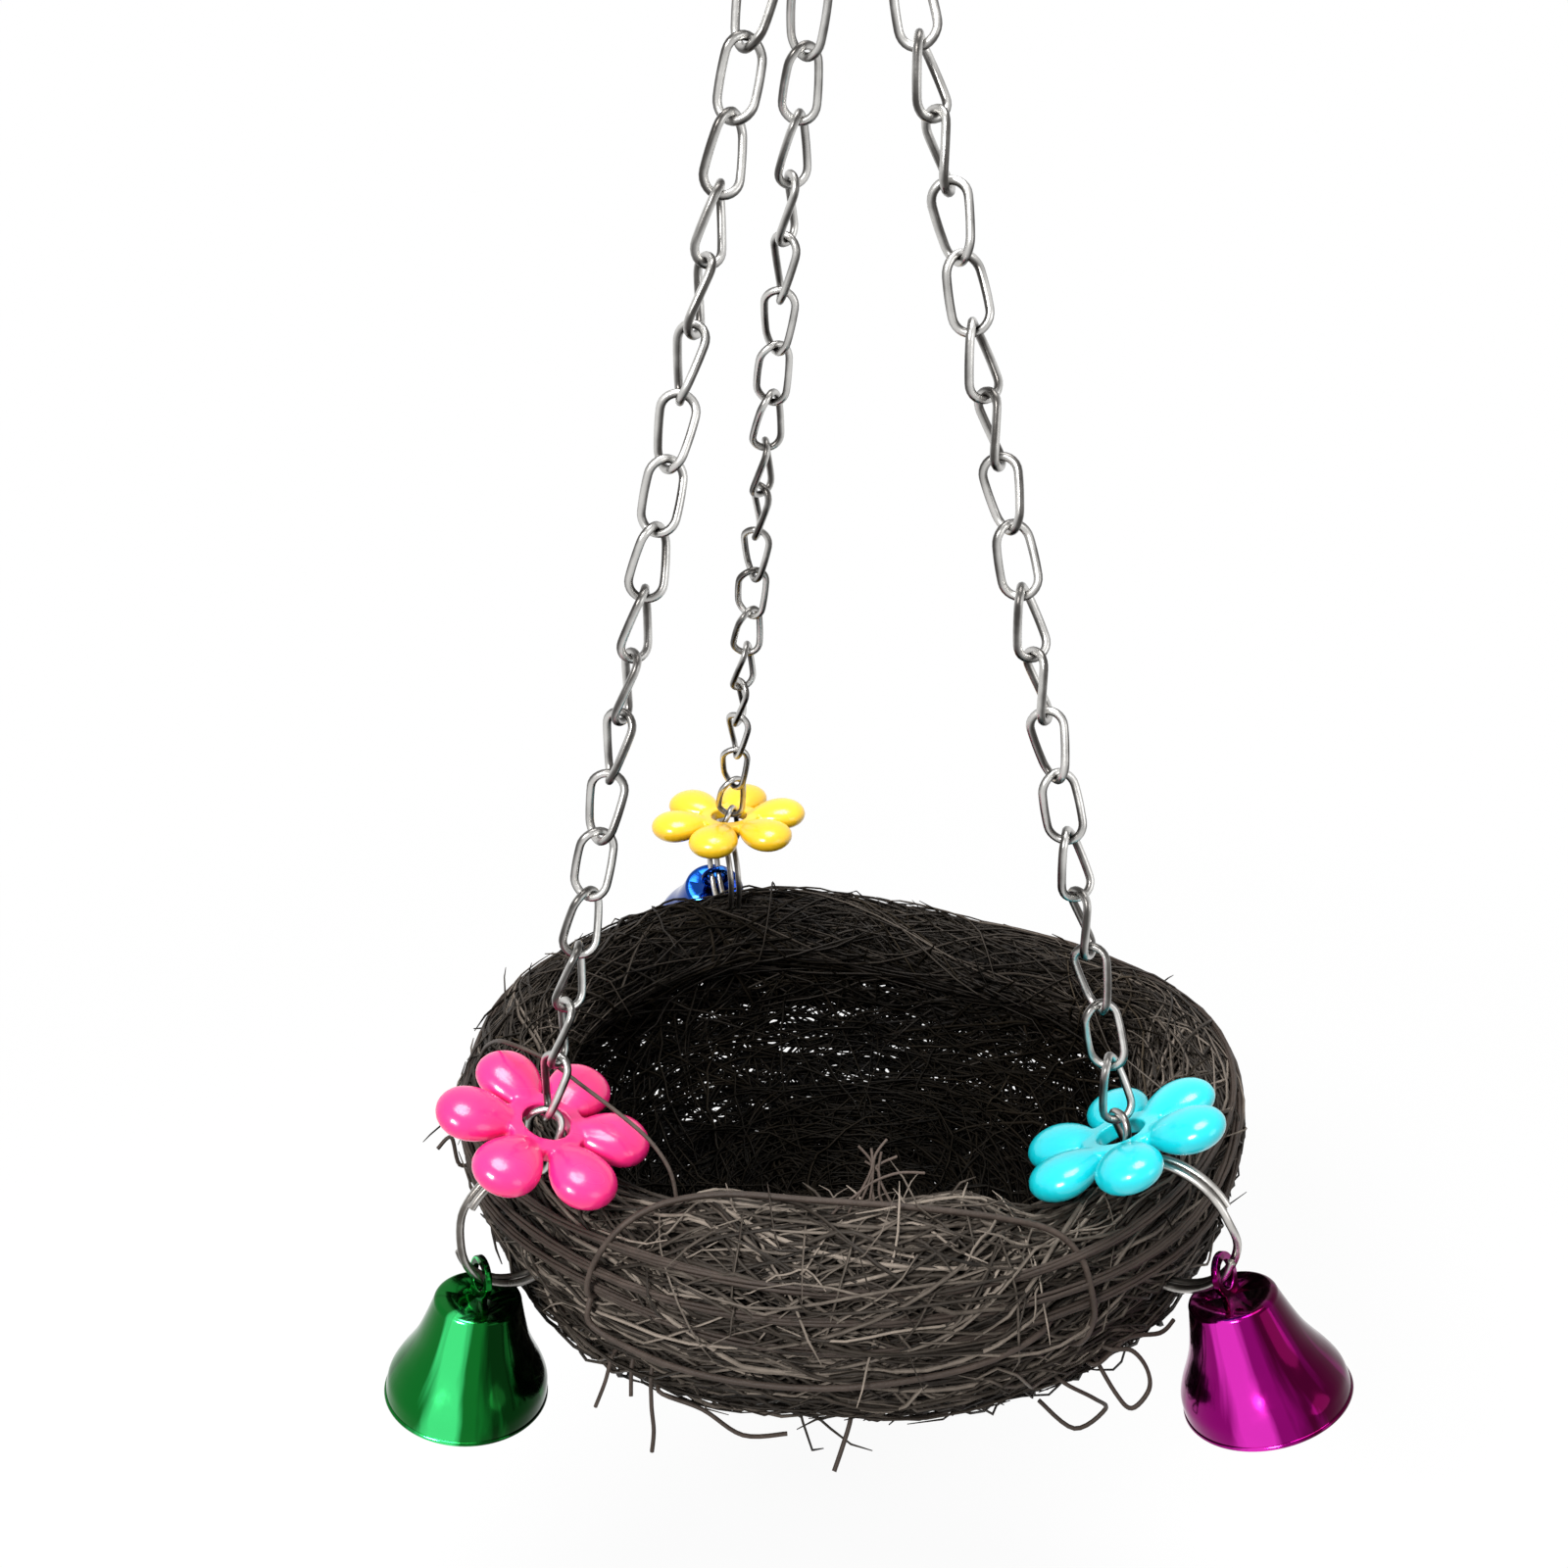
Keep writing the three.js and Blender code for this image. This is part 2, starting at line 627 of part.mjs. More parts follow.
// Clapper: an eye through the strip, a stem and a ball.
function clapperGeometry() {
  const eyeMiddle = -clapperPivot - eyeRadius;
  const eye = new THREE.TorusGeometry(eyeRadius, eyeWire / 2, linkSides, eyeSteps);
  eye.rotateX(Math.PI / 2).translate(0, 0, eyeMiddle);
  const stemTop = eyeMiddle - eyeRadius;
  const ballMiddle = stemTop - stemLength - ballRadius;
  const stem = new THREE.CylinderGeometry(stemWire / 2, stemWire / 2, stemLength + ballRadius, linkSides);
  stem.rotateX(Math.PI / 2).translate(0, 0, stemTop - (stemLength + ballRadius) / 2);
  const ball = new THREE.SphereGeometry(ballRadius, ballColumns, ballRows);
  ball.rotateX(Math.PI / 2).translate(0, 0, ballMiddle);
  return shapeOf(solid(eye).add(solid(stem)).add(solid(ball)));
}

function bell(station) {
  const { out, along, ring } = anchors(station);
  const hook = rad(station.hook);
  const place = ring.clone().addScaledVector(out, splitRadius * Math.cos(hook));
  place.addScaledVector(up, splitRadius * Math.sin(hook));
  const group = new THREE.Group();
  group.applyMatrix4(new THREE.Matrix4().makeBasis(out, along, up).setPosition(place));
  group.rotateY(-rad(station.bellLean));
  const look = { color: bellColours[station.name], roughness: 0.18, metalness: 1 };
  group.add(piece(`bell_${station.name}`, bellGeometry(), look));
  group.add(piece(`bell_ear_${station.name}`, earGeometry(), look));
  group.add(piece(`clapper_${station.name}`, clapperGeometry(), looks.brass));
  return group;
}

// The nest and its chains, rocked about the top ring's wire until their weight is under it.
const hung = new THREE.Group();
hung.add(nest());
for (const station of stations) {
  hung.add(chain(station), splitRing(station), flower(station), bell(station));
}
const rock = rad(hangTurn);
hung.rotation.x = rock;
hung.position.set(0, topHeight * Math.sin(rock), topHeight * (1 - Math.cos(rock)));

const swing = new THREE.Group();
swing.position.z = -hangHeight;
swing.add(quickLink(), quickNut(), topRing(), hung);

const splitLeast = selfGap(splitPoint, splitLoops, splitWire / 2);
const strandLeast = selfGap(strandPoint, strandLoops, strandRadius);
console.log(`split ring: least gap to itself ${splitLeast.toFixed(2)} mm`);
console.log(`rim strand: least gap to itself ${strandLeast.toFixed(2)} mm`);

const part = new THREE.Group();
part.add(swing);

export default part;
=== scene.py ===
# %% [markdown]
# # A hanging nest swing
# The object is a round nest of plant fibre that hangs on three chains. Where a chain meets the rim
# there is a split ring, with a flower bead above it and a bell below it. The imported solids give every
# place and size, in metres. Each step below makes one kind of piece in the same frame, so that it goes
# where its solid is and moves with its body.

# %% Frame
import json
from math import acos, asin, atan2, cos, degrees, floor, hypot, pi, radians, sin, sqrt

import bmesh
import bpy
import numpy as np
from mathutils import Matrix, Vector


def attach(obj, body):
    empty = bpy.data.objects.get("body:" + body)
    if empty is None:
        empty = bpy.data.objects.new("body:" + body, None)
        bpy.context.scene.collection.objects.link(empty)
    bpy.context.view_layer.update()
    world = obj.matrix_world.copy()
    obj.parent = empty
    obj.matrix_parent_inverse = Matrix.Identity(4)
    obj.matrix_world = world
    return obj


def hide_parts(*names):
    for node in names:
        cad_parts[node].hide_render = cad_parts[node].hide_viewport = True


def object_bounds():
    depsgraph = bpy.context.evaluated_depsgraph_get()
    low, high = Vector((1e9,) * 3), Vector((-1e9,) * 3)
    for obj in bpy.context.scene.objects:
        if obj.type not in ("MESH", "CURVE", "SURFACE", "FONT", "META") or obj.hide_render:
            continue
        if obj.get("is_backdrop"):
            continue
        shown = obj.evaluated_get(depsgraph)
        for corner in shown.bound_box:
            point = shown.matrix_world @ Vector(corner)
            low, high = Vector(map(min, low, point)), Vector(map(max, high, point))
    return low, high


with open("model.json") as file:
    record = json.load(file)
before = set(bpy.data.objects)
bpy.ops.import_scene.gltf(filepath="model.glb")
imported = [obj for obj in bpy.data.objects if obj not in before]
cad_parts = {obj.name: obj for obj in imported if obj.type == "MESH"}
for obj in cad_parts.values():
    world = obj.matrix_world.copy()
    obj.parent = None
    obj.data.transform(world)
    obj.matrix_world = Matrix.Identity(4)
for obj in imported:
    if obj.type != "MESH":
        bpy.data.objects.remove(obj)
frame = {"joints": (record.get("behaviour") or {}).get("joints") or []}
cad_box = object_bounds()
MM = 0.001
scene = bpy.context.scene


def add_object(name, data):
    thing = bpy.data.objects.new(name, data)
    scene.collection.objects.link(thing)
    return thing


# %% [markdown]
# ## Camera and light
# The picture looks down into the nest from the front, from close by, so near pieces look larger than
# far ones. The camera stands where the lines of the chains and the rim put it. A swing hangs with its
# weight below its ring, which rocks this one by a few degrees. All that hangs is drawn level and then
# rocked, and so is the camera.

# %% Camera
# The hanging point's height and its drop to the ring's wire, in millimetres, and the rock in degrees.
HANG, RING_DROP, HANG_TURN = 276.079, 49.0, -2.7
CAMERA_PLACE = Vector((-9.05, -254.94, 167.5 - HANG)) * MM
CAMERA_PITCH = radians(-22.63)
CAMERA_ROLL = radians(-0.61)
CAMERA_LENS, SENSOR_WIDTH, CLIP_START = 32.87, 36, 0.01
ring_wire = Matrix.Translation((0, 0, -RING_DROP * MM))
ROCK = ring_wire @ Matrix.Rotation(radians(HANG_TURN), 4, "X") @ ring_wire.inverted()


def add_camera():
    data = bpy.data.cameras.new("camera")
    data.lens = CAMERA_LENS
    data.sensor_width = SENSOR_WIDTH
    data.clip_start = CLIP_START
    camera = add_object("camera", data)
    turn = Matrix.Rotation(pi / 2 + CAMERA_PITCH, 4, "X") @ Matrix.Rotation(CAMERA_ROLL, 4, "Z")
    camera.matrix_world = ROCK @ Matrix.Translation(CAMERA_PLACE) @ turn
    scene.camera = camera


add_camera()
print("camera at", tuple(round(v, 3) for v in CAMERA_PLACE))

# %% [markdown]
# Node trees are written as expressions. This class wraps a socket: an operator on it adds the Math node
# that it stands for, and one method makes any other node. Shaders and Geometry Nodes share it.

# %% Expressions


class Wire:
    """A socket in an expression."""

    def __init__(self, tree, socket=None):
        self.tree = tree
        self.socket = socket

    def node(self, kind, inputs=None, out=0, **settings):
        node = self.tree.nodes.new(kind)
        for key, value in settings.items():
            if key == "stops":
                ramp = node.color_ramp
                while len(ramp.elements) < len(value):
                    ramp.elements.new(1)
                for element, (place, colour) in zip(ramp.elements, value):
                    element.position = place
                    element.color = (*colour, 1)
            else:
                setattr(node, key, value)
        for key, value in (inputs or {}).items():
            if isinstance(value, Wire):
                self.tree.links.new(value.socket, node.inputs[key])
            else:
                node.inputs[key].default_value = value
        return Wire(self.tree, node.outputs[out] if node.outputs else None)

    def math(self, operation, *values):
        return self.node("ShaderNodeMath", dict(enumerate(values)), operation=operation)

    def step(self, low, high):
        ends = {0: self, 1: low, 2: high}
        return self.node("ShaderNodeMapRange", ends, interpolation_type="SMOOTHSTEP")

    def vector(self, x, y, z):
        return self.node("ShaderNodeCombineXYZ", {0: x, 1: y, 2: z})

    def part(self, axis):
        return self.node("ShaderNodeSeparateXYZ", {0: self}, out=axis)

    def noise(self, place, scale, detail=2.0, dimensions="3D"):
        inputs = {"Vector": place, "Scale": scale, "Detail": detail}
        return self.node("ShaderNodeTexNoise", inputs, noise_dimensions=dimensions)

    def mix(self, factor, low, high):
        # The Mix node has a row of sockets for each kind of value; these are the colours.
        return self.node("ShaderNodeMix", {0: factor, 6: low, 7: high}, out=2, data_type="RGBA")

    def ramp(self, stops):
        return self.node("ShaderNodeValToRGB", {0: self}, stops=stops)

    def attribute(self, name):
        return self.node("ShaderNodeAttribute", out="Fac", attribute_name=name)

    def store(self, name, value, kind="FLOAT"):
        inputs = {0: self, "Name": name, "Value": value}
        return self.node("GeometryNodeStoreNamedAttribute", inputs, data_type=kind)


def operator(operation, swap=False):
    """A method of Wire that adds one Math node."""

    def method(self, *others):
        values = (*others, self) if swap else (self, *others)
        return self.math(operation, *values)

    return method


OPERATORS = {
    "__add__": "ADD", "__radd__": "ADD", "__sub__": "SUBTRACT", "__mul__": "MULTIPLY",
    "__rmul__": "MULTIPLY", "__truediv__": "DIVIDE", "__pow__": "POWER", "sin": "SINE", "cos": "COSINE",
    "size": "ABSOLUTE", "least": "MINIMUM", "most": "MAXIMUM",
}
for method, operation in OPERATORS.items():
    setattr(Wire, method, operator(operation))
Wire.__rsub__ = operator("SUBTRACT", swap=True)
print("operators", len(OPERATORS) + 1)

# %% [markdown]
# The background is a white world over a white floor. Only rays that see them directly, or by a mirror,
# get the full white, so they add little light to the nest. Three lamps do that: a strong one from the
# left front, a weak one from the right and one from above.

# %% Background and lamps
WHITE = (1, 1, 1, 1)
AMBIENT = 0.34
FLOOR_DROP = 0.12
FLOOR_SIZE = 6.0
FLOOR_PALE = (0.72, 0.72, 0.72, 1)
FLOOR_WHITE, FLOOR_NEAR, FLOOR_FAR = 0.9, 0.15, 0.6
SEEN_RAYS = "Is Camera Ray", "Is Glossy Ray", "Is Transmission Ray"
# Where each lamp stands, its size in metres and its power in watts.
LAMPS = {
    "key": ((-0.45, -0.70, 0.45), 0.30, 13.0),
    "fill": ((0.75, -0.50, 0.05), 0.50, 1.3),
    "top": ((0.05, 0.10, 0.60), 0.50, 8.0),
}
LAMP_AIM = Vector((0.004, 0.016, -0.29))


def shader_net(owner):
    """The emptied node tree of a world or a material."""
    owner.use_nodes = True
    owner.node_tree.nodes.clear()
    return Wire(owner.node_tree)


def seen(net):
    """1 for rays from the camera, from a mirror or through glass."""
    rays = [net.node("ShaderNodeLightPath", out=name) for name in SEEN_RAYS]
    return rays[0].most(rays[1]).most(rays[2])


def add_world():
    scene.world = bpy.data.worlds.new("studio")
    net = shader_net(scene.world)
    strength = AMBIENT + seen(net) * (1 - AMBIENT)
    sky = net.node("ShaderNodeBackground", {"Color": WHITE, "Strength": strength})
    net.node("ShaderNodeOutputWorld", {"Surface": sky})


def add_floor():
    half = FLOOR_SIZE / 2
    level = cad_box[0].z - FLOOR_DROP
    mesh = bpy.data.meshes.new("floor")
    corners = [(-half, -half, level), (half, -half, level), (half, half, level), (-half, half, level)]
    mesh.from_pydata(corners, [], [(0, 1, 2, 3)])
    floor = add_object("floor", mesh)
    paint = bpy.data.materials.new("floor_paint")
    net = shader_net(paint)
    place = net.node("ShaderNodeTexCoord", out="Object")
    away = (place.part(0) ** 2 + place.part(1) ** 2) ** 0.5
    white = FLOOR_WHITE + away.step(FLOOR_NEAR, FLOOR_FAR) * (1 - FLOOR_WHITE)
    pale = net.node("ShaderNodeBsdfDiffuse", {"Color": FLOOR_PALE})
    glow = net.node("ShaderNodeEmission", {"Color": WHITE, "Strength": 1.0})
    mixed = net.node("ShaderNodeMixShader", {0: seen(net) * white, 1: pale, 2: glow})
    net.node("ShaderNodeOutputMaterial", {"Surface": mixed})
    mesh.materials.append(paint)
    floor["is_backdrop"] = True


def add_lamps():
    for name, (place, size, power) in LAMPS.items():
        data = bpy.data.lights.new(name, "AREA")
        data.shape = "DISK"
        data.size = size
        data.energy = power
        lamp = add_object(name, data)
        aim = (LAMP_AIM - Vector(place)).to_track_quat("-Z", "Y")
        lamp.matrix_world = Matrix.Translation(place) @ aim.to_matrix().to_4x4()


scene.view_settings.view_transform = "Standard"
add_world()
add_floor()
add_lamps()
print("floor at", round(cad_box[0].z - FLOOR_DROP, 3), "lamps", len(LAMPS))

# %% [markdown]
# ## Finishes
# Each finish is a node material on Object coordinates or on an attribute of the piece. The fibre gets
# its shade from a number that each strand carries, partly chance, so that neighbours differ as real
# strands do, and partly painted shade. The steel carries painted reflections, and the bells painted
# reflections, a painted highlight and painted shade.

# %% Finishes
MID = 0.5
GRAIN_SHIFT, PATCH_SHIFT = 0.3, 0.4
FIBRE_ROUGH, FIBRE_ROUGHER = 0.42, 0.3
STEEL_ROUGH, CLOUD_ROUGH, SCRATCH_ROUGH = 0.18, 0.2, 0.06
# How much the painted reflection stripes along a wire lighten and darken the steel, and a shift towards
# dull.
REFLECTION_STRIPE_SHARE, LESS_SHINE = 0.45, 0.05
PLASTIC_ROUGH, SWIRL_ROUGH = 0.2, 0.12
METAL_ROUGH, DUST_ROUGH = 0.07, 0.1
# Bell metal: painted reflections in streaks down the metal, a painted highlight stripe and painted shade
# on one side.
REFLECTION_ROUND, REFLECTION_UP, HIGHLIGHT_NARROW = 3.5, 2, 10.0
REFLECTION_SHARE, HIGHLIGHT_SHARE, SHADE_SHARE = 0.45, 0.35, 0.1


def finish(name, build, **constants):
    """A Principled material: build feeds what varies, and constants are set on the sockets."""
    paint = bpy.data.materials.new(name)
    net = shader_net(paint)
    place = net.node("ShaderNodeTexCoord", out="Object")
    shader = net.node("ShaderNodeBsdfPrincipled", {**constants, **build(net, place)})
    net.node("ShaderNodeOutputMaterial", {"Surface": shader})
    return paint


def bump(net, height, strength, distance):
    inputs = {"Strength": strength, "Distance": distance, "Height": height}
    return net.node("ShaderNodeBump", inputs)


def fibre(name, gloss, dark, middle, pale):
    def build(net, place):
        grain = net.noise(place, scale=420, detail=3)
        patch = net.noise(place, scale=38)
        # The tone carries each strand's shade by chance and the painted shade of the nest.
        shade = net.attribute("tone") + (grain - MID) * GRAIN_SHIFT + (patch - MID) * PATCH_SHIFT
        return {
            "Base Color": shade.ramp([(0.0, dark), (0.45, middle), (1.0, pale)]),
            "Roughness": FIBRE_ROUGH + grain * FIBRE_ROUGHER,
            "Normal": bump(net, net.noise(place, scale=1500), strength=0.35, distance=0.0004),
        }

    return finish(name, build, **{"Specular IOR Level": gloss})


def steel(name, bright, dull):
    def build(net, place):
        cloud = net.noise(place, scale=160, detail=3)
        scratch = net.noise(place, scale=1300)
        # Cloudy patches of the steel itself, and painted reflections: light and dark stripes along each
        # wire.
        cloud_and_reflection = (cloud + net.attribute("side") * REFLECTION_STRIPE_SHARE - LESS_SHINE).step(0.0, 1.0)
        return {
            "Base Color": net.mix(cloud_and_reflection, dull, bright),
            "Roughness": STEEL_ROUGH + cloud * CLOUD_ROUGH + scratch * SCRATCH_ROUGH,
            "Normal": bump(net, scratch, strength=0.08, distance=0.0003),
        }

    return finish(name, build, Metallic=1.0)


def gloss_plastic(name, deep, bright):
    def build(net, place):
        swirl = net.noise(place, scale=70)
        skin = net.noise(place, scale=900, detail=1)
        return {
            "Base Color": net.mix(swirl, deep, bright),
            "Roughness": PLASTIC_ROUGH + swirl * SWIRL_ROUGH,
            "Normal": bump(net, skin, strength=0.04, distance=0.0004),
        }

    return finish(name, build, **{"IOR": 1.5, "Coat Weight": 0.3, "Coat Roughness": 0.08})


def coloured_metal(name, face, deep, middle, bright):
    """Painted reflections, highlight and shade: light and dark streaks run down the metal, a narrow
    painted highlight faces the given angle, and painted shade darkens the side a quarter turn on from it.
    """
    def build(net, place):
        around = net.node("ShaderNodeUVMap")
        turn = around.part(0) * (2 * pi) - radians(face)
        spot = net.vector(turn.cos() * REFLECTION_ROUND, turn.sin() * REFLECTION_ROUND, around.part(1) * REFLECTION_UP)
        # Painted light: noise streaks are painted reflections, a narrow stripe is a painted highlight, and
        # one side is painted darker as shade.
        painted_reflection = net.noise(spot, scale=1, detail=3)
        painted_highlight = turn.cos().most(0.0) ** HIGHLIGHT_NARROW
        painted_light_band = painted_reflection * REFLECTION_SHARE + painted_highlight * HIGHLIGHT_SHARE - turn.sin() * SHADE_SHARE
        dust = net.noise(place, scale=700, detail=3)
        return {
            "Base Color": painted_light_band.ramp([(0.16, deep), (0.27, middle), (0.42, middle), (0.56, bright)]),
            "Roughness": METAL_ROUGH + dust * DUST_ROUGH,
            "Normal": bump(net, painted_light_band, strength=0.15, distance=0.0008),
        }

    return finish(name, build, Metallic=1.0)


FIBRE = fibre("brown_fibre", 0.16, (0.0035, 0.0026, 0.002), (0.034, 0.027, 0.021), (0.24, 0.20, 0.165))
FINE_FIBRE = fibre(
    "fine_fibre", 0.06, (0.0014, 0.001, 0.0006), (0.010, 0.0075, 0.0048), (0.085, 0.066, 0.046))
STRAND = fibre("dark_strand", 0.2, (0.010, 0.0065, 0.005), (0.040, 0.029, 0.023), (0.16, 0.12, 0.10))
CHAIN_STEEL = steel("chain_steel", (0.62, 0.61, 0.59, 1), (0.060, 0.056, 0.052, 1))
RING_STEEL = steel("ring_steel", (0.62, 0.60, 0.57, 1), (0.10, 0.09, 0.08, 1))
BRASS = steel("clapper_brass", (0.62, 0.46, 0.20, 1), (0.30, 0.20, 0.08, 1))
PETALS = {
    "left": gloss_plastic("pink_plastic", (0.72, 0.006, 0.115, 1), (0.93, 0.030, 0.25, 1)),
    "right": gloss_plastic("turquoise_plastic", (0.001, 0.42, 0.50, 1), (0.008, 0.60, 0.65, 1)),
    "back": gloss_plastic("yellow_plastic", (0.78, 0.42, 0.010, 1), (0.92, 0.58, 0.020, 1)),
}
# Each bell's colours are its metal shaded, middle and highlit; the ramp paints reflections, a highlight
# and shade with them.
BELLS = {
    "left": coloured_metal(
        "green_metal", 45, (0.002, 0.026, 0.004), (0.006, 0.145, 0.020), (0.060, 0.78, 0.22)),
    "right": coloured_metal(
        "purple_metal", -78, (0.060, 0.001, 0.022), (0.240, 0.003, 0.140), (0.74, 0.030, 0.50)),
    "back": coloured_metal(
        "blue_metal", 135, (0.002, 0.008, 0.060), (0.006, 0.050, 0.280), (0.050, 0.260, 0.85)),
}
print("finishes", len(bpy.data.materials))

# %% [markdown]
# ## Geometry trees and meshes
# A tree gets named inputs, and is run on a base mesh. Its result becomes a plain mesh at once, because
# the moving frame and the export both want plain meshes. The first tree draws a wire along any row of
# points; rings, links and single strands are all made with it.

# %% Trees
SMOOTH_STEPS = 6


def make_tree(name, inputs, build):
    """A geometry tree with named inputs. What build makes becomes real geometry with its material."""
    tree = bpy.data.node_groups.new(name, "GeometryNodeTree")
    sockets = tree.interface
    sockets.new_socket("Geometry", in_out="OUTPUT", socket_type="NodeSocketGeometry")
    for label, kind in {"Geometry": "Geometry", **inputs, "Material": "Material"}.items():
        sockets.new_socket(label, in_out="INPUT", socket_type=f"NodeSocket{kind}")
    start = tree.nodes.new("NodeGroupInput")
    wires = {socket.name: Wire(tree, socket) for socket in start.outputs if socket.name}
    net = Wire(tree)
    smooth = net.node("GeometryNodeSetShadeSmooth", {0: build(net, wires)})
    real = net.node("GeometryNodeRealizeInstances", {0: smooth})
    painted = net.node("GeometryNodeSetMaterial", {0: real, "Material": wires["Material"]})
    net.node("NodeGroupOutput", {0: painted})
    return tree


def run_tree(name, tree, base, values):
    """Runs a tree on a base mesh and leaves the result as a plain mesh object at the origin."""
    piece = add_object(name, base)
    modifier = piece.modifiers.new("shape", "NODES")
    modifier.node_group = tree
    for item in tree.interface.items_tree:
        if item.in_out == "INPUT" and item.name in values:
            modifier[item.identifier] = values[item.name]
    plain(piece)
    return piece


def plain(piece):
    """Applies all modifiers of a piece."""
    depsgraph = bpy.context.evaluated_depsgraph_get()
    shown = piece.evaluated_get(depsgraph)
    mesh = bpy.data.meshes.new_from_object(shown, preserve_all_data_layers=True, depsgraph=depsgraph)
    mesh.name = piece.name
    piece.modifiers.clear()
    piece.data = mesh


def drop(helper):
    bpy.data.objects.remove(helper)


def line_mesh(name, rows, closed=False, tone=None):
    """Rows of points in millimetres as one mesh of edges, with a shade for strands."""
    mesh = bpy.data.meshes.new(name)
    points, edges = [], []
    for row in rows:
        first = len(points)
        points.extend(Vector(p) * MM for p in row)
        edges.extend((i, i + 1) for i in range(first, len(points) - 1))
        if closed:
            edges.append((len(points) - 1, first))
    mesh.from_pydata(points, edges, [])
    if tone is not None:
        shade = mesh.attributes.new("tone", "FLOAT", "POINT")
        shade.data.foreach_set("value", np.full(len(points), tone, np.float32))
    return mesh


def arc(radius, start, end, steps, x=0.0, y=0.0):
    """Points on an arc about (x, y), with both ends."""
    turns = [start + (end - start) * i / steps for i in range(steps + 1)]
    return [(x + radius * cos(t), y + radius * sin(t)) for t in turns]


def circle(radius, steps, x=0.0, y=0.0):
    return arc(radius, 0, 2 * pi, steps, x, y)[:-1]


def smooth_line(points):
    """A row of points on the smooth curve through the given ones."""
    ends = [points[0], *points, points[-1]]
    line = []
    for before, start, end, after in zip(ends, ends[1:], ends[2:], ends[3:]):
        for i in range(SMOOTH_STEPS):
            t = i / SMOOTH_STEPS
            pull = (end - before) / 2 * (t - 2 * t**2 + t**3) + (after - start) / 2 * (t**3 - t**2)
            line.append(start * (1 - 3 * t**2 + 2 * t**3) + end * (3 * t**2 - 2 * t**3) + pull)
    return [*line, points[-1]]


def wire_tree(net, wires):
    path = net.node("GeometryNodeMeshToCurve", {0: wires["Geometry"]})
    inputs = {"Resolution": wires["Sides"], "Radius": 1.0}
    ring = net.node("GeometryNodeCurvePrimitiveCircle", inputs)
    # Painted reflections: a number that runs twice from light to dark round the wire; the steel finish
    # makes stripes along the wire from it.
    ring = ring.store("side", (net.node("GeometryNodeSplineParameter") * (4 * pi)).sin())
    inputs = {0: path, 1: ring, "Scale": wires["Radius"], "Fill Caps": True}
    return net.node("GeometryNodeCurveToMesh", inputs)


WIRE = make_tree("wire", {"Radius": "Float", "Sides": "Int"}, wire_tree)


def wire(name, rows, diameter, material, closed=False, sides=12, tone=None):
    values = {"Radius": diameter / 2 * MM, "Sides": sides, "Material": material}
    return run_tree(name, WIRE, line_mesh(name, rows, closed, tone), values)


def place_mesh(piece, matrix):
    """Moves a piece's mesh; the object stays at the origin."""
    piece.data.transform(matrix)
    piece.data.update()


def settle_on(piece, body, slot, *nodes):
    """What every piece needs: its body and the solids that it stands for. The slot is not used."""
    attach(piece, body)
    if nodes:
        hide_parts(*nodes)


print("trees", [tree.name for tree in bpy.data.node_groups])

# %% [markdown]
# ## Where things are
# The chains run from a ring at the top to three points above the rim. Every place follows from the size
# of a link, the number of links and the nest, so it is worked out here from the same sizes as the solids.

# %% Places
# Sizes in millimetres and angles in degrees.
CLEARANCE, WELD, CLOSE = 0.3, 0.2, 0.01
LINK_PITCH, LINK_COUNT, LINK_WIRE, LINK_TWIST, LINK_SEAT = 10.9, 22, 1.5, 60, 0.75
TOP_RADIUS, TOP_WIRE, TOP_SPACING, TOP_PLAY = 9, 2.6, 4.87, 0.65
QUICK_WIRE, QUICK_WIDTH, QUICK_HEIGHT, QUICK_GAP = 3.4, 13, 36, 4
SPLIT_RADIUS, SPLIT_WIRE, SPLIT_GAP = 13, 1.5, 0.5
NEST_SHIFT, NEST_RADIUS, NEST_DEPTH = (4.4, 16.5), 83.5, 54
ROLL_RADIUS, RIM_TILT, RIM_DROP, FOOT_HEIGHT = 10, 3.3, 0.7, 1.0
SIDES = {
    "left": {"azimuth": 212.9, "foot": 6, "spread": -1, "lay": -31, "lean": 17, "petals": -25},
    "right": {"azimuth": 324, "foot": 0.4, "spread": 1, "lay": -47, "lean": 40, "petals": 0},
    "back": {"azimuth": 105.4, "foot": 3, "spread": 0, "lay": -31, "lean": 25, "petals": 30},
}
UP = Vector((0, 0, 1))
split_rise = SPLIT_WIRE + SPLIT_GAP
end_radius = (LINK_WIRE + SPLIT_WIRE) / 2 + hypot(split_rise / 2, LINK_SEAT) + CLEARANCE
link_length = LINK_PITCH + LINK_WIRE
roll_centre = NEST_RADIUS - ROLL_RADIUS
pair_step, next_step = LINK_PITCH + WELD, LINK_PITCH - CLEARANCE
top_seat = TOP_WIRE / 2 + LINK_WIRE / 2 + TOP_PLAY
pairs = LINK_COUNT // 2
chain_run = pairs * pair_step + (pairs - 1) * next_step + link_length - top_seat - end_radius + LINK_SEAT


def station(side):
    """Outwards, along the rim, and how far out the chain ends."""
    angle = radians(SIDES[side]["azimuth"])
    out = Vector((cos(angle), sin(angle), 0))
    along = UP.cross(out)
    shift = Vector((*NEST_SHIFT, 0))
    foot = out.dot(shift) + sqrt(roll_centre**2 - along.dot(shift) ** 2) + SIDES[side]["foot"]
    return out, along, foot


top_height = FOOT_HEIGHT + sqrt(chain_run**2 - station("left")[2] ** 2)
quick_bottom = top_height + 2 * TOP_RADIUS - (TOP_WIRE + QUICK_WIRE) / 2 - CLEARANCE
hang_height = quick_bottom + QUICK_HEIGHT - QUICK_WIRE / 2
NEST_CENTRE = Vector((*NEST_SHIFT, -ROLL_RADIUS - RIM_TILT - RIM_DROP - hang_height))


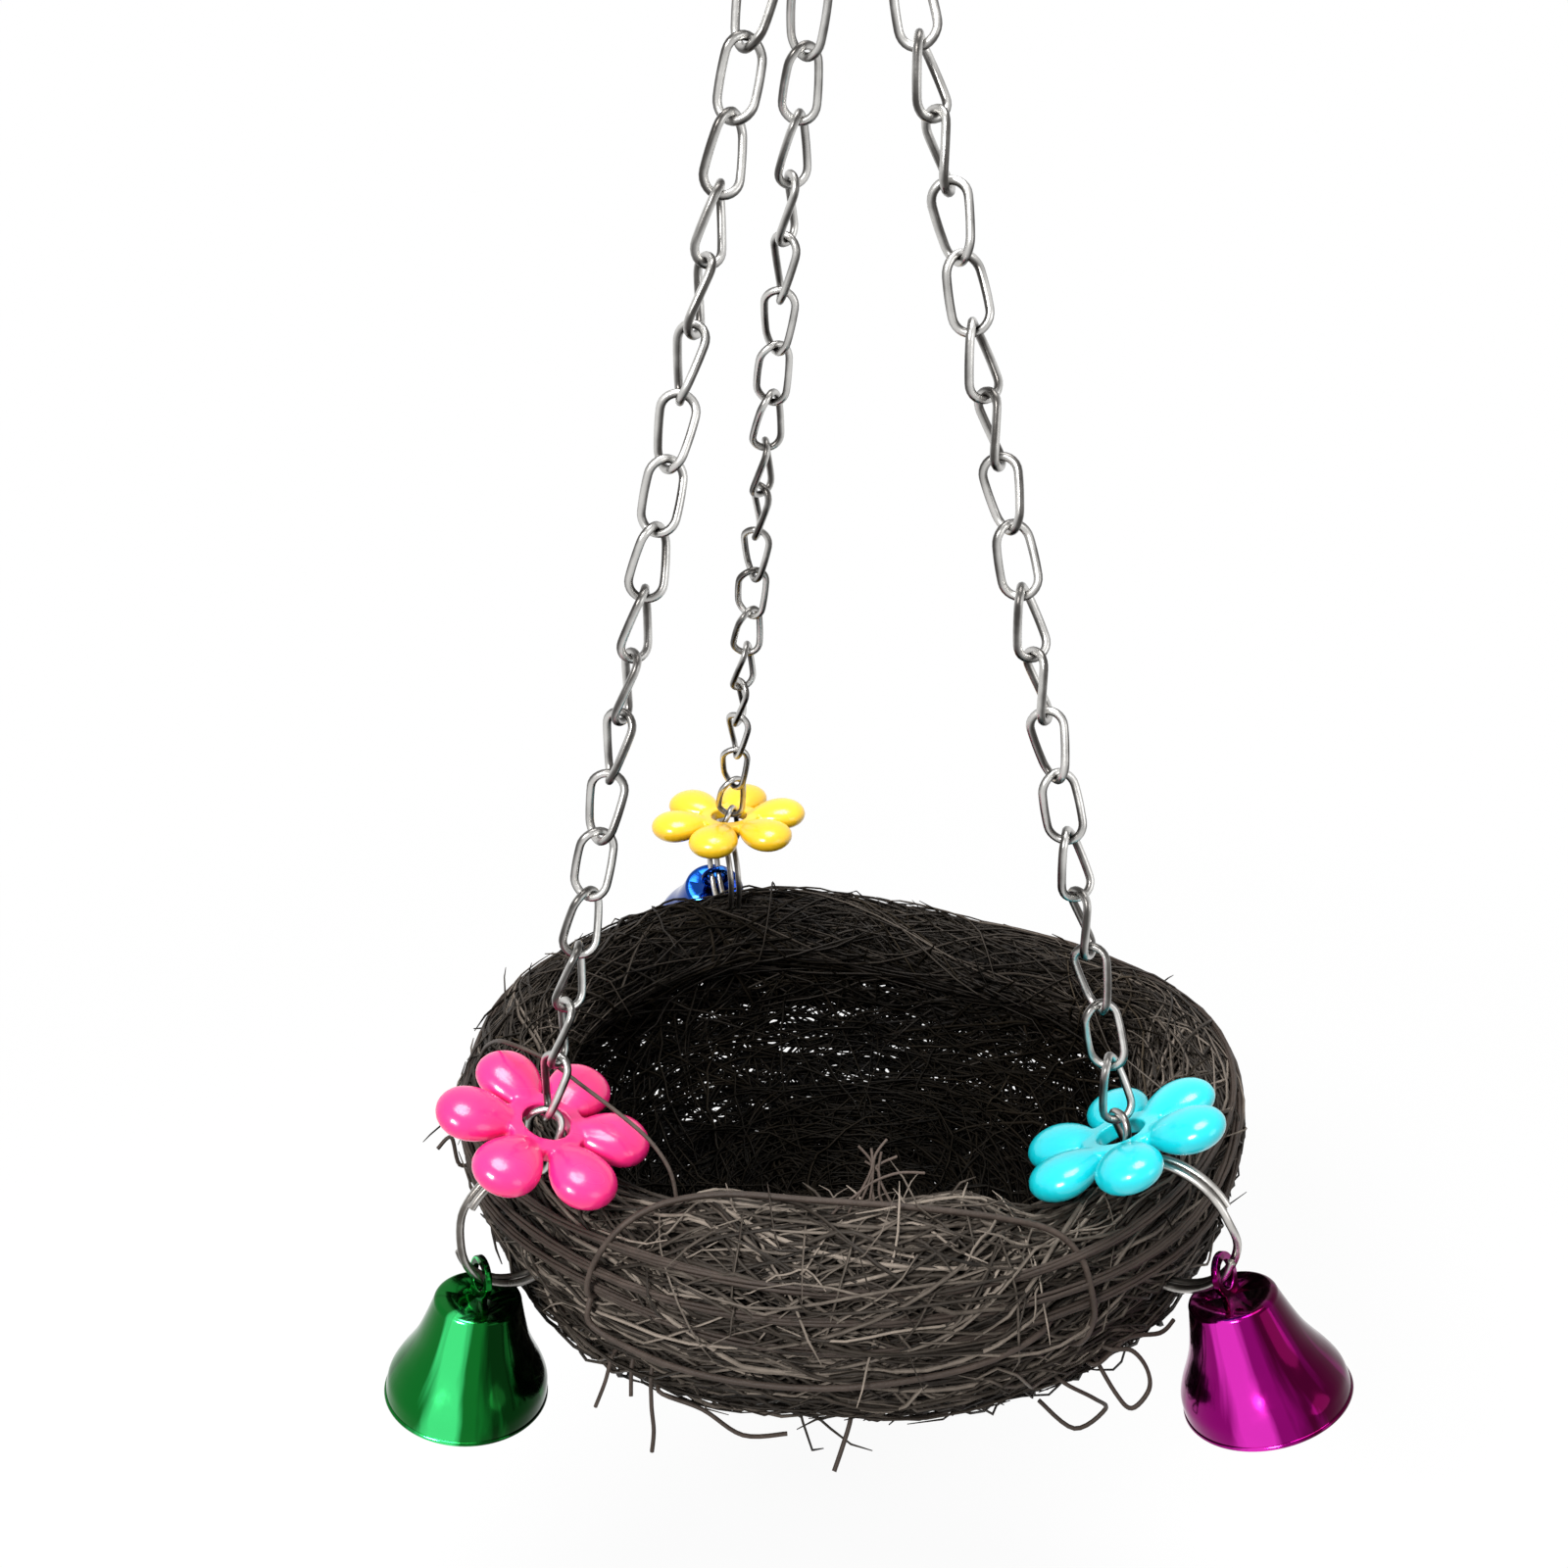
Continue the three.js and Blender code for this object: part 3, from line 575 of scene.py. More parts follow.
def anchors(side):
    """A chain's top, its foot and the middle of its split ring, below the hanging point."""
    out, along, reach = station(side)
    angle = SIDES[side]["spread"] * TOP_SPACING / TOP_RADIUS
    rise = TOP_RADIUS * (1 - cos(angle))
    top = Vector((TOP_RADIUS * sin(angle), 0, top_height + rise - hang_height))
    foot = out * reach
    level = hypot(foot.x - top.x, foot.y - top.y)
    foot.z = top.z - sqrt(chain_run**2 - level**2)
    lean = radians(SIDES[side]["lean"])
    ring = foot + out * SPLIT_RADIUS * sin(lean) - UP * SPLIT_RADIUS * cos(lean)
    wire_at_top = Vector((cos(angle), 0, sin(angle)))
    return out, along, top, foot, ring, wire_at_top


print("hang height", round(hang_height, 3), "mm")
assert abs(hang_height - HANG) < CLOSE and abs(hang_height - top_height - RING_DROP) < CLOSE

# %% [markdown]
# ## Chains
# The chain is twisted-link chain: each link is a long ring of wire that is turned about its length, so
# that the links lie flat in each other. One link is drawn as a wire, and a tree sets it on every point
# of the chain with the turn that the point carries.

# %% Chains
LINK_ARC, LINK_LEG = 14, 6
LINK_ROUND = 10


def link_points():
    leg = link_length - 2 * end_radius
    half = []
    for i in range(LINK_ARC):
        turn = pi * i / LINK_ARC
        half.append((-end_radius * cos(turn), leg / 2 + end_radius * sin(turn)))
    for i in range(LINK_LEG):
        half.append((end_radius, leg / 2 - leg * i / LINK_LEG))
    points = []
    for sign in (1, -1):
        for across, height in half:
            twist = radians(LINK_TWIST) * sign * height / link_length
            reach = sign * across
            points.append((reach * cos(twist), reach * sin(twist), sign * height))
    return points


def chain_tree(net, wires):
    link = net.node("GeometryNodeObjectInfo", {0: wires["Link"]}, out="Geometry")
    turn = net.node("GeometryNodeInputNamedAttribute", {"Name": "turn"}, data_type="FLOAT_VECTOR")
    inputs = {0: wires["Geometry"], "Instance": link, "Rotation": turn}
    return net.node("GeometryNodeInstanceOnPoints", inputs)


def chain_base(side):
    """One point for each link, with the link's turn."""
    _, along, top, foot, _, wire_at_top = anchors(side)
    down = (foot - top).normalized()
    across = down.cross(wire_at_top).normalized()
    third = down.cross(across)
    foot_angle = degrees(atan2(along.dot(third), along.dot(across)))
    steps = LINK_COUNT - 1
    half_turns = floor((steps * SIDES[side]["lay"] - foot_angle + LINK_TWIST) / 180 + 0.5)
    lay = (foot_angle - LINK_TWIST + 180 * half_turns) / steps
    base = Matrix((across, third, down)).transposed()
    places, turns = [], []
    for i in range(LINK_COUNT):
        run = link_length / 2 - top_seat + (i // 2) * (pair_step + next_step) + (i % 2) * pair_step
        places.append((top + down * run) * MM)
        turn = base @ Matrix.Rotation(radians(LINK_TWIST / 2 + i * lay), 3, "Z")
        turns.extend(turn.to_euler())
    mesh = bpy.data.meshes.new(f"chain_{side}")
    mesh.from_pydata(places, [], [])
    mesh.attributes.new("turn", "FLOAT_VECTOR", "POINT").data.foreach_set("vector", turns)
    return mesh


link = wire("link", [link_points()], LINK_WIRE, CHAIN_STEEL, closed=True, sides=LINK_ROUND)
CHAIN = make_tree("chain", {"Link": "Object"}, chain_tree)
for side in SIDES:
    values = {"Link": link, "Material": CHAIN_STEEL}
    chain = run_tree(f"chain_{side}_links", CHAIN, chain_base(side), values)
    place_mesh(chain, ROCK)
    nodes = [f"chain_{side}_{i + 1:02d}" for i in range(pairs)]
    settle_on(chain, "nest_swing", "chain_steel", *nodes)
    print(chain.name, len(chain.data.polygons), "faces")
drop(link)

# %% [markdown]
# ## Rings, quick link and nut
# The split ring is one wire in two turns that steps over from one turn to the other, like a key ring.
# The gathering ring and the quick link are plain bent wire, and a six-sided sleeve nut closes the link.

# %% Rings
SPLIT_KINK, SPLIT_KINK_AT, SPLIT_END_GAP = 34, 15, 6
SPLIT_STEPS, RING_STEPS, QUICK_STEPS = 120, 72, 20
NUT_GRIP, NUT_WALL, NUT_EDGE, NUT_SIDES = 2, 1.5, 0.25, 6
HOLE_STEPS, EDGE_STEPS, MERGE = 32, 2, 1e-7


def split_points(side):
    out, along, _, _, ring, _ = anchors(side)
    start = SPLIT_KINK / 2 + SPLIT_END_GAP
    points = []
    for i in range(SPLIT_STEPS + 1):
        turned = start + (720 - 2 * start) * i / SPLIT_STEPS
        share = min(1, max(0, (turned - 360 + SPLIT_KINK / 2) / SPLIT_KINK))
        lift = split_rise * (share * share * (3 - 2 * share) - 0.5)
        angle = radians(SPLIT_KINK_AT + turned)
        flat = out * SPLIT_RADIUS * cos(angle) + UP * SPLIT_RADIUS * sin(angle)
        points.append(ring + flat - along * lift)
    return points


def ring_points():
    middle = top_height + TOP_RADIUS - hang_height
    return [(x, 0, z) for x, z in circle(TOP_RADIUS, RING_STEPS, 0, middle)]


def quick_points():
    bend, leg = QUICK_WIDTH / 2, QUICK_HEIGHT - QUICK_WIDTH
    middle = quick_bottom + QUICK_HEIGHT / 2 - hang_height
    over = arc(bend, 0, pi, QUICK_STEPS, 0, leg / 2)
    under = arc(bend, pi, 2 * pi, QUICK_STEPS, 0, -leg / 2)
    line = [(bend, QUICK_GAP / 2), *over, *under, (bend, -QUICK_GAP / 2)]
    return [Vector((0, y, z)) + UP * middle for y, z in line]


def weld(mesh):
    """Joins points that lie on each other and turns all faces outwards."""
    joined = bmesh.new()
    joined.from_mesh(mesh)
    bmesh.ops.remove_doubles(joined, verts=joined.verts, dist=MERGE)
    bmesh.ops.dissolve_degenerate(joined, dist=MERGE, edges=joined.edges)
    bmesh.ops.recalc_face_normals(joined, faces=joined.faces)
    joined.to_mesh(mesh)
    joined.free()


def flat_plate(name, outlines, thickness, edge, material):
    """A plate from closed outlines in millimetres, the first one solid and the others holes."""
    curve = bpy.data.curves.new(name, "CURVE")
    curve.dimensions = "2D"
    curve.fill_mode = "BOTH"
    curve.extrude = (thickness / 2 - edge) * MM
    curve.bevel_depth = edge * MM
    curve.offset = -edge * MM
    curve.bevel_resolution = EDGE_STEPS
    for outline in outlines:
        spline = curve.splines.new("POLY")
        spline.points.add(len(outline) - 1)
        for point, (x, y) in zip(spline.points, outline):
            point.co = (x * MM, y * MM, 0, 1)
        spline.use_cyclic_u = True
    flat = add_object(name, curve)
    mesh = bpy.data.meshes.new_from_object(flat.evaluated_get(bpy.context.evaluated_depsgraph_get()))
    drop(flat)
    weld(mesh)
    mesh.materials.clear()
    mesh.materials.append(material)
    return add_object(name, mesh)


for side in SIDES:
    ring = wire(f"split_ring_{side}_wire", [split_points(side)], SPLIT_WIRE, RING_STEEL)
    place_mesh(ring, ROCK)
    settle_on(ring, "nest_swing", "steel", f"split_ring_{side}")
gather = wire("gathering_ring_wire", [ring_points()], TOP_WIRE, RING_STEEL, closed=True, sides=16)
settle_on(gather, "gathering_ring", "steel", "top_ring")
quick = wire("quick_link_wire", [quick_points()], QUICK_WIRE, RING_STEEL, sides=20)
settle_on(quick, "hanger", "steel", "quick_link")
bore = QUICK_WIRE / 2 + CLEARANCE
hexagon = circle((bore + NUT_WALL) / cos(pi / NUT_SIDES), NUT_SIDES)
outlines = [hexagon, circle(bore, HOLE_STEPS)]
nut = flat_plate("sleeve_nut_hex", outlines, QUICK_GAP + 2 * NUT_GRIP, NUT_EDGE, RING_STEEL)
nut_height = quick_bottom + QUICK_HEIGHT / 2 - hang_height
place_mesh(nut, Matrix.Translation(Vector((0, QUICK_WIDTH / 2, nut_height)) * MM))
settle_on(nut, "sleeve_nut", "steel", "quick_nut")
print("rings, quick link and nut made")

# %% [markdown]
# ## Flower beads
# A bead is moulded in one: six fat petals round a thin hub with a hole. A tree sets six copies of one
# egg-shaped petal round the hub. A voxel remesh then melts them into one skin, with the small fillets
# that a mould leaves, which would be hard to model face by face.

# %% Flower beads
FLOWER_RADIUS, PETAL_WIDTH, PETAL_THICK, PETAL_COUNT = 20.4, 14.2, 8.2, 6
PETAL_ROOT, PETAL_NARROW, PETAL_TAPER = 4.9, 0.40, 1.5
PETAL_ROUND, PETAL_RINGS = 24, 14
HUB_HOLE, HUB_REACH, HUB_THICK, HUB_ROUND = 4.6, 7.6, 3.0, 48
FLOWER_VOXEL, SOFTEN_SHARE, SOFTEN_ROUNDS = 0.36, 0.5, 8


def petal_mesh():
    """An egg that is narrower towards the hub, with its middle line along X."""
    length = FLOWER_RADIUS - PETAL_ROOT
    shape = bmesh.new()
    inputs = {"u_segments": PETAL_ROUND, "v_segments": PETAL_RINGS, "radius": 0.5}
    bmesh.ops.create_uvsphere(shape, **inputs)
    for vert in shape.verts:
        share = vert.co.x + 0.5
        narrow = 1 - PETAL_NARROW * (1 - share) ** PETAL_TAPER
        vert.co.x = PETAL_ROOT + length * share
        vert.co.y *= PETAL_WIDTH * narrow
        vert.co.z *= PETAL_THICK * narrow
    bmesh.ops.scale(shape, vec=(MM, MM, MM), verts=shape.verts)
    mesh = bpy.data.meshes.new("petal")
    shape.to_mesh(mesh)
    shape.free()
    return mesh


def revolve(name, profile, steps, material):
    """A closed shape turned about Z from a profile of (radius, height), with a UV map round it."""
    verts = [Vector((x, y, h)) * MM for r, h in profile for x, y in circle(r, steps)]
    count = len(profile)
    faces, corners = [], []
    for i in range(count):
        j = (i + 1) % count
        for k in range(steps):
            n = (k + 1) % steps
            faces.append((i * steps + k, i * steps + n, j * steps + n, j * steps + k))
            corners.extend([(k, i), (k + 1, i), (k + 1, i + 1), (k, i + 1)])
    mesh = bpy.data.meshes.new(name)
    mesh.from_pydata(verts, [], faces)
    layer = mesh.uv_layers.new(name="round")
    flat = [value for k, i in corners for value in (k / steps, i / count)]
    layer.data.foreach_set("uv", flat)
    weld(mesh)
    mesh.materials.append(material)
    mesh.shade_smooth()
    return add_object(name, mesh)


def rosette_tree(net, wires):
    spots = net.node("GeometryNodePoints", {"Count": wires["Count"]})
    index = net.node("GeometryNodeInputIndex")
    angle = index * (2 * pi) / wires["Count"]
    turn = net.node("FunctionNodeAxisAngleToRotation", {"Angle": angle})
    inputs = {0: spots, "Instance": wires["Geometry"], "Rotation": turn}
    petals = net.node("GeometryNodeInstanceOnPoints", inputs)
    hub = net.node("GeometryNodeObjectInfo", {0: wires["Hub"]}, out="Geometry")
    both = net.tree.nodes.new("GeometryNodeJoinGeometry")
    for shape in (petals, hub):
        net.tree.links.new(shape.socket, both.inputs[0])
    return Wire(net.tree, both.outputs[0])


def joint(name):
    return next(j for j in frame["joints"] if j["name"] == name)


def flower_matrix(side):
    """The bead's place and axis are those of its joint; its petals are turned from outwards."""
    spin = joint(f"flower_spin_{side}")
    axis = Vector(spin["axis"]).normalized()
    across = axis.cross(ROCK.to_3x3() @ station(side)[0]).normalized()
    front = across.cross(axis)
    turn = Matrix((front, across, axis)).transposed().to_4x4()
    petals = Matrix.Rotation(radians(SIDES[side]["petals"]), 4, "Z")
    return Matrix.Translation(spin["pos_m"]) @ turn @ petals


def melt(piece):
    remesh = piece.modifiers.new("melt", "REMESH")
    remesh.mode = "VOXEL"
    remesh.voxel_size = FLOWER_VOXEL * MM
    soften = piece.modifiers.new("soften", "SMOOTH")
    soften.factor = SOFTEN_SHARE
    soften.iterations = SOFTEN_ROUNDS
    plain(piece)


half = HUB_THICK / 2
hub_profile = [(HUB_HOLE, -half), (HUB_REACH, -half), (HUB_REACH, half), (HUB_HOLE, half)]
bead_slots = {"left": "flower_pink", "right": "flower_turquoise", "back": "flower_yellow"}
ROSETTE = make_tree("rosette", {"Hub": "Object", "Count": "Int"}, rosette_tree)
for side in SIDES:
    hub = revolve("hub", hub_profile, HUB_ROUND, PETALS[side])
    values = {"Hub": hub, "Count": PETAL_COUNT, "Material": PETALS[side]}
    flower = run_tree(f"flower_{side}_bead", ROSETTE, petal_mesh(), values)
    drop(hub)
    melt(flower)
    flower.data.materials.clear()
    flower.data.materials.append(PETALS[side])
    flower.data.shade_smooth()
    place_mesh(flower, flower_matrix(side))
    settle_on(flower, f"flower_bead_{side}", bead_slots[side], f"flower_{side}")
    print(flower.name, len(flower.data.polygons), "faces")

# %% [markdown]
# ## Bells
# A bell is a thin cup of coloured metal with a flat crown, a nearly straight flank, a round hip and a
# rolled lip. It is turned from one profile that runs down the inside and up the outside. The ear is a
# strip of the same sheet through a slot in the crown, and the clapper hangs on the strip's lower end.

# %% Bells
BELL_CROWN, BELL_HEIGHT, BELL_WALL = 8.2, 20.5, 0.8
BELL_LIP, BELL_EDGE = 0.45, 1.0
# The flank from the crown's edge to the mouth: share of the height, and radius.
BELL_FLANK = [
    (0, 8.2), (0.2, 9.3), (0.4, 10.6), (0.55, 12.0), (0.7, 13.7), (0.82, 14.8), (0.92, 15.1), (1, 15.1)]
EAR_PLAY, EAR_RIM, EAR_NECK, EAR_THICK, EAR_EDGE = 0.6, 1.5, 0.2, 1.2, 0.2
EAR_STRIP, EAR_TAIL, CROWN_THICK = 5.6, 3.6, 0.9
EYE_WIRE, EYE_PLAY, EYE_ROOM, TAIL_RIM = 0.9, 0.5, 0.65, 0.65
STEM_WIRE, STEM_LENGTH, BALL_RADIUS = 1.2, 4.5, 3.0
BELL_ROUND, CLAPPER_ROUND, LIP_STEPS, CROWN_STEPS = 96, 32, 8, 5
EAR_STEPS, BALL_STEPS, EYE_STEPS, EYE_HOLE_STEPS = 32, 20, 24, 20
# A radius so small that its ring closes on the axis.
ON_AXIS = 1e-4
# The ear is drawn flat in XY and stands across X.
EAR_TURN = Matrix(((0, 0, 1, 0), (1, 0, 0, 0), (0, 1, 0, 0), (0, 0, 0, 1)))
split_reach = hypot((split_rise + SPLIT_WIRE) / 2, SPLIT_WIRE / 2)
ear_hole = split_reach + EAR_PLAY
ear_radius = ear_hole + EAR_RIM
ear_rise = ear_radius + EAR_NECK
tail_end = ear_rise + CROWN_THICK + EAR_TAIL
eye_hole = EYE_WIRE / 2 + EYE_PLAY
eye_pivot = tail_end - TAIL_RIM - eye_hole
eye_radius = (EAR_THICK + EYE_WIRE) / 2 + EYE_ROOM


def bell_profile():
    crown, flank = -ear_rise, BELL_HEIGHT - BELL_EDGE
    rows = [Vector((reach, crown - BELL_EDGE - flank * share)) for share, reach in BELL_FLANK]
    outside = smooth_line(rows)
    inside = [(reach - BELL_WALL, min(fall, crown - BELL_WALL)) for reach, fall in outside[:-1]]
    reach, fall = outside.pop()
    lip = arc(BELL_LIP, -pi, pi / 2, LIP_STEPS, reach - BELL_LIP / 3, fall)
    edge = arc(BELL_EDGE, 0, pi / 2, CROWN_STEPS, BELL_CROWN - BELL_EDGE, crown - BELL_EDGE)
    down = [(ON_AXIS, crown - BELL_WALL), *inside, (reach - BELL_WALL, fall)]
    return [*down, *lip, *outside[:0:-1], *edge, (ON_AXIS, crown)]


def bell_matrix(side):
    """A bell's frame: its joint's axis is across the ear, and its own axis leans outwards."""
    swing = joint(f"bell_swing_{side}")
    across = Vector(swing["axis"]).normalized()
    along = ROCK.to_3x3() @ station(side)[1]
    axis = across.cross(along)
    turn = Matrix((across, along, axis)).transposed().to_4x4()
    return Matrix.Translation(swing["pos_m"]) @ turn


def ear_outlines():
    half = EAR_STRIP / 2
    shoulder = acos(half / ear_radius)
    head = arc(ear_radius, -shoulder, pi + shoulder, EAR_STEPS)
    outline = [(-half, -tail_end), (half, -tail_end), *head]
    return [outline, circle(ear_hole, HOLE_STEPS), circle(eye_hole, EYE_HOLE_STEPS, 0, -eye_pivot)]


def clapper_profile():
    stem_top = -eye_pivot - 2 * eye_radius
    middle = stem_top - STEM_LENGTH - BALL_RADIUS
    start = acos(STEM_WIRE / 2 / BALL_RADIUS)
    ball = arc(BALL_RADIUS, start, -pi / 2, BALL_STEPS, 0, middle)
    return [(ON_AXIS, stem_top), (STEM_WIRE / 2, stem_top), *((max(ON_AXIS, x), z) for x, z in ball)]


def clapper(side):
    body = revolve(f"clapper_{side}_ball", clapper_profile(), CLAPPER_ROUND, BRASS)
    middle = -eye_pivot - eye_radius
    loop = [(x, 0, z) for x, z in circle(eye_radius, EYE_STEPS, 0, middle)]
    eye = wire("eye", [loop], EYE_WIRE, BRASS, closed=True, sides=10)
    both = bmesh.new()
    both.from_mesh(body.data)
    both.from_mesh(eye.data)
    both.to_mesh(body.data)
    both.free()
    drop(eye)
    return body


bell_slots = {"left": "bell_green", "right": "bell_purple", "back": "bell_blue"}
for side in SIDES:
    cup = revolve(f"bell_{side}_cup", bell_profile(), BELL_ROUND, BELLS[side])
    ear = flat_plate(f"bell_{side}_tab", ear_outlines(), EAR_THICK, EAR_EDGE, BELLS[side])
    place_mesh(ear, EAR_TURN)
    tongue = clapper(side)
    for piece in (cup, ear, tongue):
        place_mesh(piece, bell_matrix(side))
    settle_on(cup, f"hung_bell_{side}", bell_slots[side], f"bell_{side}")
    settle_on(ear, f"hung_bell_{side}", bell_slots[side], f"bell_ear_{side}")
    settle_on(tongue, f"bell_clapper_{side}", "brass", f"clapper_{side}")
    print(cup.name, len(cup.data.polygons), "faces")

# %% [markdown]
# ## The nest
# The nest has no skin: it is some thousands of thin strands that lie on each other. A half section of
# the nest is drawn as one line, up the outside, over the rolled rim and down the inside. Every strand is
# laid on that line, turned about the nest's axis.

# %% Half section
ROUNDNESS, COLLAR = 2.33, 6
BOWL_RIDGE, BOWL_ROWS, LINING_RIDGE, LINING_ROWS, ROW_STEPS = 2.4, 19, 1.8, 16, 4
LINING_RADIUS, LINING_DEPTH, LINING_TOP = 70.2, 43.7, -10.6
RIDGE_WANDER, RIDGE_WAVES = 6, 3
SAG_AT, SAG_SPAN, SAG_DEPTH, SAG_DRAW = 58, 60, 5, 5
ROLL_FROM, ROLL_TO, ROLL_STEPS = 0.1, pi + 0.2, 16


def bowl_curve(radius, depth, top, rows, ridge):
    """A bowl's line from its middle up to the height top; every other row of strands is a ridge."""
    power = 2 / ROUNDNESS
    end = asin((-top / depth) ** (1 / power))
    line = []
    for i in range(rows * ROW_STEPS + 1):
        turn = pi / 2 + (end - pi / 2) * i / (rows * ROW_STEPS)
        stand = ridge * (1 - cos(pi * i / ROW_STEPS)) / 2
        reach, fall = max(0, cos(turn)) ** power, sin(turn) ** power
        line.append(((radius + stand) * reach, -(depth + stand) * fall))
    return line


def half_section():
    size = NEST_RADIUS - BOWL_RIDGE, NEST_DEPTH - BOWL_RIDGE
    outer = bowl_curve(*size, -COLLAR, BOWL_ROWS, BOWL_RIDGE)
    roll = [(roll_centre + ROLL_RADIUS * cos(t), ROLL_RADIUS * sin(t))
            for t in np.linspace(ROLL_FROM, ROLL_TO, ROLL_STEPS)]
    inner = bowl_curve(LINING_RADIUS, LINING_DEPTH, LINING_TOP, LINING_ROWS, -LINING_RIDGE)
    return np.array(outer + roll + inner[::-1])


SECTION = half_section()
section_steps = np.linalg.norm(np.diff(SECTION, axis=0), axis=1)
SECTION_LENGTH = np.cumsum(section_steps)[-1]
print("section", round(SECTION_LENGTH, 1), "mm")

# %% [markdown]
# One tree lays a whole heap of strands. Each strand gets a place round the nest, a place along the half
# section, a slope and a depth by chance, and wanders a little on its way. Where a chain passes, the rim's
# strands keep low. The tilt and the sag of the handmade rim are put on last.

# %% Strand tree
FLOATS = (
    "Facing Spread From To Short Long Slope Flow Bend Deep High Swell Wander Flare "
    "Thin Thick Dark Light").split()
# How far strands keep below a chain's foot, and within which angles of it, on the rim's part of the line.
ROOM = 3.8
ROOM_SPAN = cos(radians(26)), cos(radians(16))
RIM_SHARE, RIM_NEAR, RIM_FAR = 0.55, 0.06, 0.10
# Noise: how fast it changes round the nest and along the section.
PATCH_ROUND, PATCH_ALONG = 2.2, 9.0
LUMP_ROUND, LUMP_ALONG, LUMP_HEIGHT = 1.7, 2.2, 2.6
CLIMB_PACE, DEPTH_PACE, DEPTH_SHARE, NOISE_SPAN = 2.5, 2.0, 0.5, 90.0
CURL_WIDE, CURL_LIFT = 4.0, 0.33
FLARE_FROM, FLARE_POWER, SWELL_POWER = 0.5, 3.0, 6.0
# Least distances from the axis, in metres, for the pace of a strand and for its points.
LEAST_REACH, LEAST_RADIUS = 0.016, 0.0005
# Painted shade on the fibre: strands are painted darker towards the back of the nest and towards its
# bottom.
PAINTED_ROUND_LIGHT, PAINTED_BACK_SHADE, PAINTED_LOW_LIGHT, PAINTED_RISE_LIGHT = 0.8, 0.2, 0.45, 0.55
# A strand's tone: mostly chance, and darker the deeper it lies, which is painted shade between the
# strands.
TONE_CHANCE, DEPTH_SHADE, TONE_POWER = 0.75, 0.25, 2.0
TAPER_POWER, TAPER, STRAND_SIDES, SEED_STEP = 6.0, 0.65, 3, 7.0


